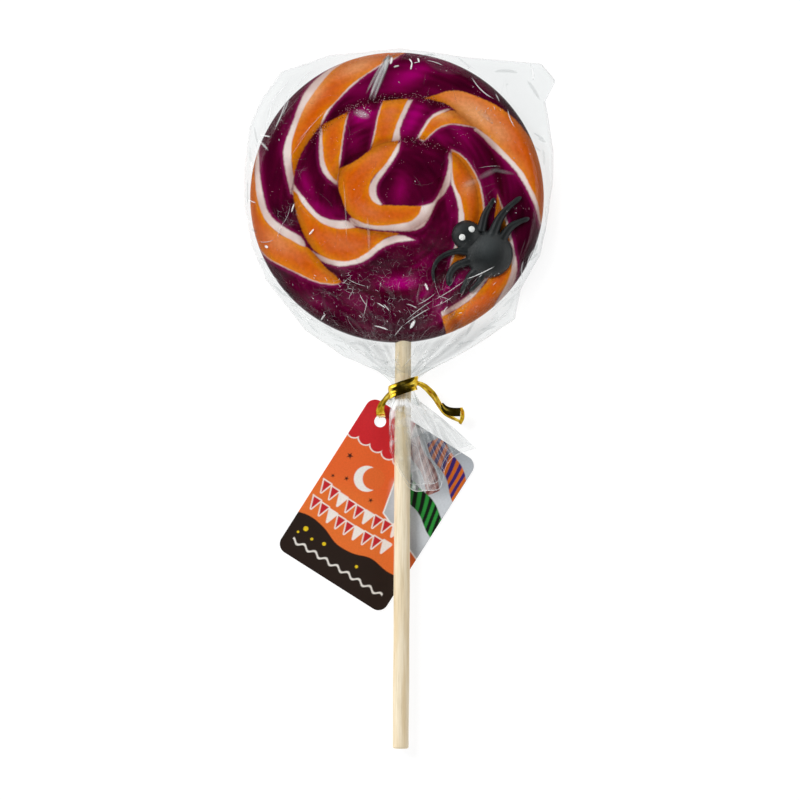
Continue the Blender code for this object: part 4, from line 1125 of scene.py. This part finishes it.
def makeTail(name, material, seed, rise, shrink):
    # Fan from the neck to the hem, laid over the stick and the tag, pleated and crumpled
    hem = smoothLine(tail["hem"], 24)
    hem = hem[np.linspace(0, len(hem) - 1, tail["cols"]).astype(int)]
    across = np.linspace(0, 1, tail["cols"])[None, :]
    down = np.linspace(0, 1, tail["rows"])[:, None]
    turn = np.radians(205 - 225 * across)
    startX = stickX(tail["start"]) + 4.2 * np.cos(turn)
    startZ = midHeight + 3.2 * np.sin(turn)
    swing = 1.2 * np.sin(down * math.pi) * (across - 0.3)
    x = startX + (hem[None, :, 0] - startX) * down * shrink + swing
    y = tail["start"] + (hem[None, :, 1] - tail["start"]) * down * shrink
    z = startZ + (hem[None, :, 2] - startZ) * down
    fan = np.sin(down * math.pi / 2)
    ribs = zigzag(across * 6.5 + 0.3 * ripple(x, y, 22, seed))
    wrinkled = 1 - 0.9 * smoothStep(0.3, 0.65, across) * smoothStep(0.05, 0.3, down)
    crumple = wrinkled * (0.8 * facets(x, y, 6.0, seed + 1) + 0.22 * facets(x, y, 2.8, seed + 2))
    fold = (1.5 * ribs * (0.5 + 0.5 * wrinkled) + 0.7 * crumple) * fan
    overStick = midHeight + stickHump(x, y, 0.7)
    overTag = 2.5 * np.clip(down / 0.3, 0, 1)
    z = np.maximum(z + fold, np.maximum(overStick, overTag) + 0.25 * (fold + 0.6)) + rise
    points = gridPoints(x, y, z).reshape(-1, 3)
    piece = meshPiece(name, points, [gridFaces(tail["rows"], tail["cols"])[:, ::-1]], material)
    # painted highlights and shade on the tail: white on the ribs and crumples, glare just below the tie and a
    # collar of it at the neck, a white hem and a faint white wash; grey shade where crumples turn from the
    # light, and a grey veil on the right
    ridge = np.clip(np.abs(ribs) * 2.2 - 0.75, 0, 1) * 0.55 + 0.75 * np.clip(crumple * 1.6 - 0.42, 0, 1)
    streak = fanStreaks(x, y, seed + 9)
    ridge = ridge + 0.22 * np.clip(streak, 0, 1)
    shade = -0.32 * np.clip(-crumple * 1.8 - 0.35, 0, 1) - 0.16 * np.clip(-streak, 0, 1)
    glare = facets(x, y, 4.2, seed + 5) + 0.5 * streak + 0.12
    gathered = 0.9 * smoothStep(0.02, 0.09, down) * np.clip(1.1 - down * 2.0, 0, 1)
    gathered = gathered * np.clip(1.3 * glare, 0, 1)
    collar = 0.7 * smoothStep(0.0, 0.03, down) * smoothStep(0.17, 0.05, down)
    collar = collar * np.clip(0.35 + 0.9 * glare, 0, 1)
    shadeVeil = 0.13 * smoothStep(0.25, 0.5, across) * smoothStep(0.02, 0.2, down)
    hemEdge = 0.5 * smoothStep(0.985, 1, down)
    calm = 1 - 0.9 * nearStick(x, y, 3.4)
    pale = np.clip(ridge * np.clip(down * 4, 0, 1) * calm + gathered * (0.3 + 0.7 * calm)
                   + collar + hemEdge + 0.05, 0, 0.9)
    paint(piece, "crease", np.where(pale > 0.08, pale, (shade * fan - shadeVeil) * calm))
    return piece


def cellophane():
    # Clear cellulose film: almost unseen where flat, bright on facets; where creased hard, painted highlights
    # (white) and painted shade (grey) stand in for glints and shadowed folds
    material, add = newMaterial("clear_cellophane")
    place = add("TexCoord").outputs["Object"]
    crease, crinkle = (add("Attribute", attribute_name=name).outputs["Fac"]
                       for name in ("crease", "crinkle"))
    fibre = add("TexNoise", (place, 1 / (3.0 * mm)))
    # where the film is crinkled: painted glints, hair lines between small facets and long facets that run to
    # the neck
    bent = add("VectorMath", (fibre.outputs["Color"], (2.4 * mm, 2.4 * mm, 0), place),
               operation="MULTIPLY_ADD")
    cracks = add("TexVoronoi", (bent, 1 / (1.6 * mm)), feature="DISTANCE_TO_EDGE", voronoi_dimensions="2D")
    hairs = add("MapRange", (cracks, 0.0, 0.055, 1.0, 0.0))
    patches = add("TexNoise", (place, 1 / (1.7 * mm)))
    broken = add("MapRange", (patches, 0.45, 0.66, 0.0, 0.9))
    hairs = add("Math", (hairs, broken), operation="MULTIPLY")
    neckward = add("VectorMath", (place, (bag["neck"][0] * mm, bag["neck"][1] * mm, 0)),
                   operation="SUBTRACT")
    apart = add("SeparateXYZ", neckward)
    turn = add("Math", (apart.outputs[0], apart.outputs[1]), operation="ARCTAN2")
    turn = add("Math", (turn, 11.0), operation="MULTIPLY")
    far = add("VectorMath", neckward, operation="LENGTH")
    far = add("Math", (far, 1 / (8 * mm)), operation="MULTIPLY")
    fan = add("CombineXYZ", (turn, far))
    plates = add("TexVoronoi", (fan, 1.0), voronoi_dimensions="2D")
    plate = add("SeparateColor", plates.outputs["Color"])
    plate = add("MapRange", (plate, 0.45, 1.0, 0.0, 0.04))
    crushed = add("Math", (hairs, plate), operation="ADD")
    crease = add("Math", (crinkle, crushed, crease), operation="MULTIPLY_ADD").outputs[0]
    bump = add("Bump", {"Strength": 0.12, "Distance": 0.12 * mm, "Height": fibre})
    clear = add("BsdfTransparent", "#f9fafa")
    gloss = add("BsdfAnisotropic", {"Color": (1, 1, 1, 1), "Roughness": 0.1, "Normal": bump},
                distribution="GGX")
    slant = add("LayerWeight", {"Blend": 0.5, "Normal": bump})
    steep = add("Math", (slant.outputs["Facing"], 4.0), operation="POWER")
    bright = add("MapRange", (steep, 0.0, 1.0, 0.013, 0.28))
    sheet = add("MixShader", (bright, clear, gloss))
    # painted glint colours from pale grey to white, and grey painted shade below zero
    white = add("ValToRGB", crease, stops=((0.05, "#dadcdc"), (0.35, "#fafafa")))
    pale = add("BsdfDiffuse", {"Color": white, "Normal": bump})
    grey = add("BsdfDiffuse", {"Color": "#6f7273", "Normal": bump})
    lit = add("Math", (crease, 0.0), operation="GREATER_THAN")
    glintAndShade = add("MixShader", (lit, grey, pale))
    size = add("Math", crease, operation="ABSOLUTE")
    size = add("Math", (size, 0.95), operation="MULTIPLY", use_clamp=True)
    shader = add("MixShader", (size, sheet, glintAndShade))
    add("OutputMaterial", shader)
    return material


film = cellophane()
bagPieces = [makeBag(film), makeCreases(film), makeNeck(film),
             makeTail("cellophane_tail_front", film, 51, 0.45, 1.0),
             makeTail("cellophane_tail_back", film, 57, 0.0, 0.93)]
for piece in bagPieces:
    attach(piece, "root")
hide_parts("wrapper")
print("bag made")


# Twist tie: a gold foil ribbon wound round the neck, one tail through the tag's hole

tie = {
    "width": 3.1, "thick": 0.12, "middle": -61.4, "pitch": 2.3, "tilt": 0.27,
    "start": math.radians(205), "sweep": math.radians(560), "folds": 0.36,
    # loose ends, each with its route, its widths along it, how far it leans over from flat at its start and
    # its end, in degrees, and how deep it is folded lengthwise
    "ends": (
        (((-5.0, -70.9, 0.9), (-5.2, -70.2, 3.6), (-5.3, -68.9, 4.7), (-4.9, -67.2, 5.5), (-4.0, -65.4, 6.1),
          (-2.6, -63.9, 6.8), (-1.0, -62.8, 7.6)), (2.6, 2.9, 2.4, 1.7, 1.6, 1.9, 2.4), -6, 10, 0.4),
        (((-6.0, -70.8, 0.9), (-6.3, -69.9, 3.0), (-5.9, -68.2, 4.3), (-5.1, -66.3, 5.1), (-3.9, -64.9, 5.6)),
         (1.4, 1.6, 1.3, 1.0), -35, -10, 0.3),
        (((4.6, -60.0, 6.8), (6.4, -59.8, 6.6), (8.4, -60.6, 6.2), (10.4, -62.3, 6.0), (12.2, -64.4, 5.7),
          (13.9, -67.2, 5.3), (15.6, -69.6, 4.7), (17.8, -71.0, 4.4), (20.3, -72.2, 4.2)),
         (1.3, 1.6, 2.3, 2.6, 2.4, 1.9, 1.5, 1.0), 38, 46, 0.34),
        (((14.4, -66.4, 5.8), (15.6, -68.2, 6.1), (17.6, -69.1, 6.2), (20.4, -69.2, 6.0)),
         (1.0, 2.3, 2.8, 2.8), 12, -6, 0.25),
        (((20.6, -67.7, 6.1), (21.1, -69.3, 5.8), (21.0, -71.2, 5.2), (20.3, -73.0, 4.6)),
         (1.1, 1.6, 1.6, 1.1), 46, 30, 0.3),
    ),
}


def ribbonShape(route, widths, facing, folds, seed, cols=19):
    # Strip carried along a route: flat strips side by side that meet in folds, and a thickness
    ahead = unit(np.gradient(route, axis=0))
    across = unit(np.cross(ahead, facing))
    out = np.cross(across, ahead)[:, None, :]
    share, widths = np.linspace(-0.5, 0.5, cols)[None, :], widths[:, None]
    length = np.concatenate([[0], np.cumsum(np.linalg.norm(np.diff(route, axis=0), axis=1))])[:, None]
    drift = 0.16 * np.sin(length / 3.1 + seed) + 0.08 * np.sin(length / 1.3 + 2 * seed)
    depth = folds * (0.7 + 0.3 * np.sin(length / 2.2 + 3 * seed)) * np.minimum(widths / 3, 1)
    wave = depth * zigzag(share * 1.5 + drift + 0.25)
    wave = wave + 0.03 * facets(length + 0 * share, share * 3, 2.6, seed, 3)
    middle = route[:, None, :] + across[:, None, :] * (share * widths)[:, :, None] + out * wave[:, :, None]
    upper, lower = middle + out * tie["thick"] / 2, middle - out * tie["thick"] / 2
    loop = np.concatenate([upper, lower[:, ::-1]], axis=1)
    return closedTube(loop, middle[0].mean(axis=0), middle[-1].mean(axis=0))


def makeTie(material):
    # Two windings round the neck, leaning up to the right, and the loose ends
    share = np.linspace(0, 1, 110)
    turn = tie["start"] - tie["sweep"] * share
    out = 0.25 + 0.4 * share
    x = (4.2 + out) * np.cos(turn)
    y = tie["middle"] + tie["pitch"] * (share - 0.5) + tie["tilt"] * x
    rise = (3.7 + out) * np.sign(np.sin(turn)) * np.abs(np.sin(turn)) ** 0.4      # flat in front and behind
    winding = np.column_stack([stickX(y) + x, y, midHeight + rise])
    facing = np.column_stack([-np.gradient(rise), 0 * turn, np.gradient(x)])
    shapes = [ribbonShape(winding, tie["width"] * (0.9 + 0.1 * np.cos(share * 14)), facing, tie["folds"], 61)]
    for count, (bends, widths, leanFrom, leanTo, folds) in enumerate(tie["ends"]):
        route = smoothLine(bends, 7)
        along = np.linspace(0, 1, len(route))
        wide = np.interp(along, np.linspace(0, 1, len(widths)), widths)
        lean = np.radians(leanFrom + (leanTo - leanFrom) * along)[:, None]
        side = unit(np.cross(np.gradient(route, axis=0), (0, 0, 1.0)))
        facing = np.sin(lean) * side + np.cos(lean) * np.array([0, 0, 1.0])
        shapes.append(ribbonShape(route, wide, facing, folds, 62 + count))
    piece = meshPiece("gold_tie", *joinShapes(shapes), material)
    piece.data.shade_flat()      # stiff foil creases in flat facets
    return piece


def goldFoil():
    # Gold-lacquered foil on a ribbon: a bright mirror that has been creased, dark and light side by side
    material, add = newMaterial("gold_foil")
    place = add("TexCoord").outputs["Object"]
    wrinkle = add("TexNoise", (place, 1 / (2.2 * mm)))
    # painted reflection: the foil's colour runs from dark to bright gold with the wrinkle noise, standing in
    # for facets that mirror dark and bright surroundings
    tone = add("ValToRGB", wrinkle, stops=((0.35, "#b08c18"), (0.5, "#dcb42c"), (0.65, "#fbdc5c")))
    bump = add("Bump", {"Strength": 0.22, "Distance": 0.15 * mm, "Height": wrinkle})
    shader = add("BsdfPrincipled", {"Base Color": tone, "Metallic": 1.0, "Roughness": 0.12, "Normal": bump})
    add("OutputMaterial", shader)
    return material


goldTie = makeTie(goldFoil())
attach(goldTie, "root")
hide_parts("twist_tie")
print("tie made")


# Tag: a printed card under the stick

tag = {
    "width": 40.5, "length": 58.0, "thick": 0.6, "corner": (-8.1, -63.9), "turn": math.radians(-32.4),
    "round": 3.3, "hole": (6.7, 5.6), "holeRadius": 1.9, "lift": 0.9, "liftReach": 6.0,
    "cols": 200, "rows": 286,
}


cardPrint = {
    # places are across the card and down it, from the corner by the hole, in mm
    "ground": "#e3632c", "lowGround": "#e4702f", "paper": "#efe7e0", "back": "#eceae6",
    "valance": (12.4, 2.35, 4.4), "valanceRed": "#c9262c",           # its foot, scallop radius and pitch
    "panel": ((16.5, -2), (23.5, 30), (42, 37.5), (42, -2)),
    # painted sheen: a soft brighter band across the silver panel where it catches the light
    "paintedSheen": (((22, 20), (30, 15), (42, 13)), ((42, 33), (33, 31), (25, 27))),
    "panelRim": "#f4f4f2", "silver": "#b4b9bf", "brightSilver": "#cfd3d8",
    "streamers": (
        # from, to, width, and the two colours of its stripes
        ((18.6, 4.6), (34.0, 15.6), 4.6, ("#b2837b", "#7f423e")),
        ((25.0, 0.8), (43.0, 12.2), 6.2, ("#d2691f", "#3b256f")),
        ((22.4, 17.0), (43.0, 25.6), 6.2, ("#2c8f39", "#10140f")),
    ),
    "moon": (13.0, 23.6, 4.2), "moonBite": (14.9, 22.4, 3.6), "moonWhite": "#ece8e2", "moonSky": "#e0682e",
    "stars": ((4.4, 20.2, 0.8), (7.4, 27.0, 0.6), (3.2, 28.6, 0.5), (17.8, 28.8, 0.6)),
    "starBrown": "#2a1712",
    "garlands": (31.0, 37.2), "cord": (1.0, 31.0, 1.5, 0.22),        # from, to, sag and half its thickness
    "flag": (3.35, 1.35, 3.9), "flagRed": "#c2252c",                 # pitch, half width, length
    "hills": ((-2, 45.0), (4, 43.6), (10, 44.4), (16, 46.6), (22, 46.4), (28, 44.6), (35, 45.4),
              (42, 44.2)),
    "hillBrown": "#271b15", "wavyLine": (53, 3.2, 37.4), "wavyWhite": "#e6e0d8",      # its height, from, to
    "dots": ((5.0, 47.8, 0.8), (8.4, 49.6, 0.45), (12.6, 48.8, 0.6), (25.4, 49.4, 0.5),
             (3.4, 50.0, 0.4)),
    "dotYellow": "#e5c31c",
}


def disc(x, y, cx, cy, radius):
    return radius - np.hypot(x - cx, y - cy)


def star(x, y, cx, cy, size):
    turn = roundTurn(10)
    reach = size * np.where(np.arange(10) % 2 == 0, 1.5, 0.55)
    return insideBy(x, y, np.column_stack([cx + reach * np.sin(turn), cy - reach * np.cos(turn)]))


def lay(ink, shape, colour, soft=0.12):
    # Prints a colour where the shape's signed distance is above zero
    share = smoothStep(-soft, soft, shape)[..., None]
    return ink * (1 - share) + np.array(linear(colour)[:3]) * share


def streamer(ink, x, y, start, end, wide, colours):
    # A paper streamer: a band that sways about a straight line, in slanted stripes of two colours
    (x0, y0), (x1, y1) = start, end
    length = math.hypot(x1 - x0, y1 - y0)
    along = ((x - x0) * (x1 - x0) + (y - y0) * (y1 - y0)) / length
    aside = ((x - x0) * (y1 - y0) - (y - y0) * (x1 - x0)) / length + 0.7 * np.sin(along / 2.6)
    inside = np.minimum(wide / 2 - np.abs(aside), np.minimum(along, length - along))
    ink = lay(ink, inside, colours[0])
    stripe = 0.75 - np.abs((along + 0.8 * aside) % 3.0 - 1.5)
    return lay(ink, np.minimum(inside, stripe), colours[1])


def garland(ink, x, y, top):
    # A sagging cord with small flags, red and edged in white, every third one white
    left, right, sag, half = cardPrint["cord"]
    pitch, flagHalf, flagLong = cardPrint["flag"]

    def cordAt(across):
        return top + sag * np.sin(math.pi * (across - left) / (right - left))

    cord = np.minimum(half - np.abs(y - cordAt(x)), np.minimum(x - left, right - x))
    ink = lay(ink, cord, cardPrint["paper"])
    for count, at in enumerate(np.arange(left + 1.9, right, pitch)):
        hung = cordAt(at)
        corners = np.array([(at - flagHalf, hung), (at + flagHalf, hung), (at, hung + flagLong)])
        flag = insideBy(x, y, corners)
        ink = lay(ink, flag + 0.4, cardPrint["paper"])
        ink = lay(ink, flag, cardPrint["paper" if count % 3 == 2 else "flagRed"])
    return ink


def printTag(x, y):
    # Colours of the card in its own axes: x across from the corner by the hole, y down, in mm
    ink = np.zeros(x.shape + (3,)) + np.array(linear(cardPrint["ground"])[:3])
    ink = lay(ink, y - 33 + 5 * np.sin(x / 9), cardPrint["lowGround"], 6.0)
    foot, scallop, pitch = cardPrint["valance"]
    scallops = [disc(x, y, at, foot, scallop) for at in np.arange(1.2, 22, pitch)]
    valance = np.max([foot + 0.1 - y] + scallops, axis=0)
    ink = lay(ink, valance + 0.4, cardPrint["paper"])
    ink = lay(ink, valance, cardPrint["valanceRed"])
    panel = insideBy(x, y, np.array(cardPrint["panel"]))
    ink = lay(ink, panel + 0.3, cardPrint["panelRim"])
    ink = lay(ink, panel - 0.15, cardPrint["silver"])
    # painted sheen on the silver panel
    ink = lay(ink, insideBy(x, y, outline(*cardPrint["paintedSheen"])), cardPrint["brightSilver"], 3.0)
    for band in cardPrint["streamers"]:
        ink = streamer(ink, x, y, *band)
    ink = lay(ink, disc(x, y, *cardPrint["moon"]), cardPrint["moonWhite"])
    ink = lay(ink, disc(x, y, *cardPrint["moonBite"]), cardPrint["moonSky"])
    for place in cardPrint["stars"]:
        ink = lay(ink, star(x, y, *place), cardPrint["starBrown"])
    for top in cardPrint["garlands"]:
        ink = garland(ink, x, y, top)
    ink = lay(ink, insideBy(x, y, outline(cardPrint["hills"], [(42, 60), (-2, 60)])), cardPrint["hillBrown"])
    level, left, right = cardPrint["wavyLine"]
    wavy = 0.26 - 0.75 * np.abs(y - level - 0.6 * np.sin(1.5 * x))
    ink = lay(ink, np.minimum(wavy, np.minimum(x - left, right - x)), cardPrint["wavyWhite"])
    for place in cardPrint["dots"]:
        ink = lay(ink, disc(x, y, *place), cardPrint["dotYellow"])
    return ink


def tagPoint(x, y):
    # Card's own axes, across and down from its corner, to the plan, and the height of its bend by the hole
    c, n = math.cos(tag["turn"]), math.sin(tag["turn"])
    away = np.hypot(x - tag["hole"][0], y - tag["hole"][1])
    return (tag["corner"][0] + c * x + n * y, tag["corner"][1] + n * x - c * y,
            tag["lift"] * np.exp(-(away / tag["liftReach"]) ** 2))


def roundCorners(x, y):
    # Draws the points of a corner's square in to its quarter circle
    r, wide, long = tag["round"], tag["width"], tag["length"]
    for cx, cy in ((r, r), (wide - r, r), (r, long - r), (wide - r, long - r)):
        sx, sy = (1 if middle > r else -1 for middle in (cx, cy))
        dx, dy = (x - cx) * sx, (y - cy) * sy
        corner = (dx > 0) & (dy > 0)
        scale = np.maximum(dx, dy) / np.maximum(np.hypot(dx, dy), 1e-9)
        x, y = np.where(corner, cx + sx * dx * scale, x), np.where(corner, cy + sy * dy * scale, y)
    return x, y


def makeTag(material):
    # Grid across the card, bent to its rounded outline and round its hole, with a thin edge and a back
    x, y = roundCorners(*np.meshgrid(tag["width"] * np.linspace(0, 1, tag["cols"]),
                                     tag["length"] * np.linspace(0, 1, tag["rows"])))
    # round the hole, points are drawn in to its edge; those well inside it are left out with their faces
    (hx, hy), reach = tag["hole"], tag["holeRadius"]
    away = np.hypot(x - hx, y - hy)
    snap = np.abs(away - reach) < tag["width"] / tag["cols"] * 0.75
    pull = reach / np.maximum(away, 1e-9)
    x, y = np.where(snap, hx + (x - hx) * pull, x), np.where(snap, hy + (y - hy) * pull, y)
    gone = (away < reach) & ~snap
    px, py, pz = tagPoint(x, y)
    count = x.size
    front = gridFaces(*x.shape)
    front = front[~gone.ravel()[front].any(axis=1)]
    # walls stand on every edge that only one face uses
    edges = np.concatenate([front[:, [i, (i + 1) % 4]] for i in range(4)])
    keys = np.sort(edges, axis=1) @ np.array([count, 1])
    index, uses = np.unique(keys, return_index=True, return_counts=True)[1:]
    rim = edges[index[uses == 1]]
    walls = np.stack([rim[:, 1], rim[:, 0], rim[:, 0] + count, rim[:, 1] + count], -1)
    points = np.stack([gridPoints(px, py, pz + tag["thick"]), gridPoints(px, py, pz)]).reshape(-1, 3)
    piece = meshPiece("hang_tag", points, [front[:, ::-1], front + count, walls[:, ::-1]], material)
    ink = np.ones((2 * count, 4))
    ink[:count, :3] = printTag(x, y).reshape(-1, 3)
    ink[count:, :3] = linear(cardPrint["back"])[:3]
    layer = piece.data.attributes.new("ink", "FLOAT_COLOR", "POINT")
    layer.data.foreach_set("color", ink.astype(np.float32).ravel())
    return piece


def printedCard():
    # Coated card, offset printed: satin, with the faint mottle of ink on paper
    material, add = newMaterial("printed_card")
    place = add("TexCoord").outputs["Object"]
    ink = add("Attribute", attribute_name="ink").outputs["Color"]
    mottle = add("TexNoise", (place, 1 / (0.6 * mm), 3.0))
    tone = add("ValToRGB", mottle, stops=((0.2, "#eeeeee"), (0.8, "#ffffff")))
    colour = add("Mix", (1.0, ink, tone), blend_type="MULTIPLY")
    bump = add("Bump", {"Strength": 0.08, "Distance": 0.05 * mm, "Height": mottle})
    shader = add("BsdfPrincipled", {"Base Color": colour, "Roughness": 0.5, "IOR": 1.4, "Normal": bump})
    add("OutputMaterial", shader)
    return material


hangTag = makeTag(printedCard())
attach(hangTag, "root")
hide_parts("tag")
print("tag made")
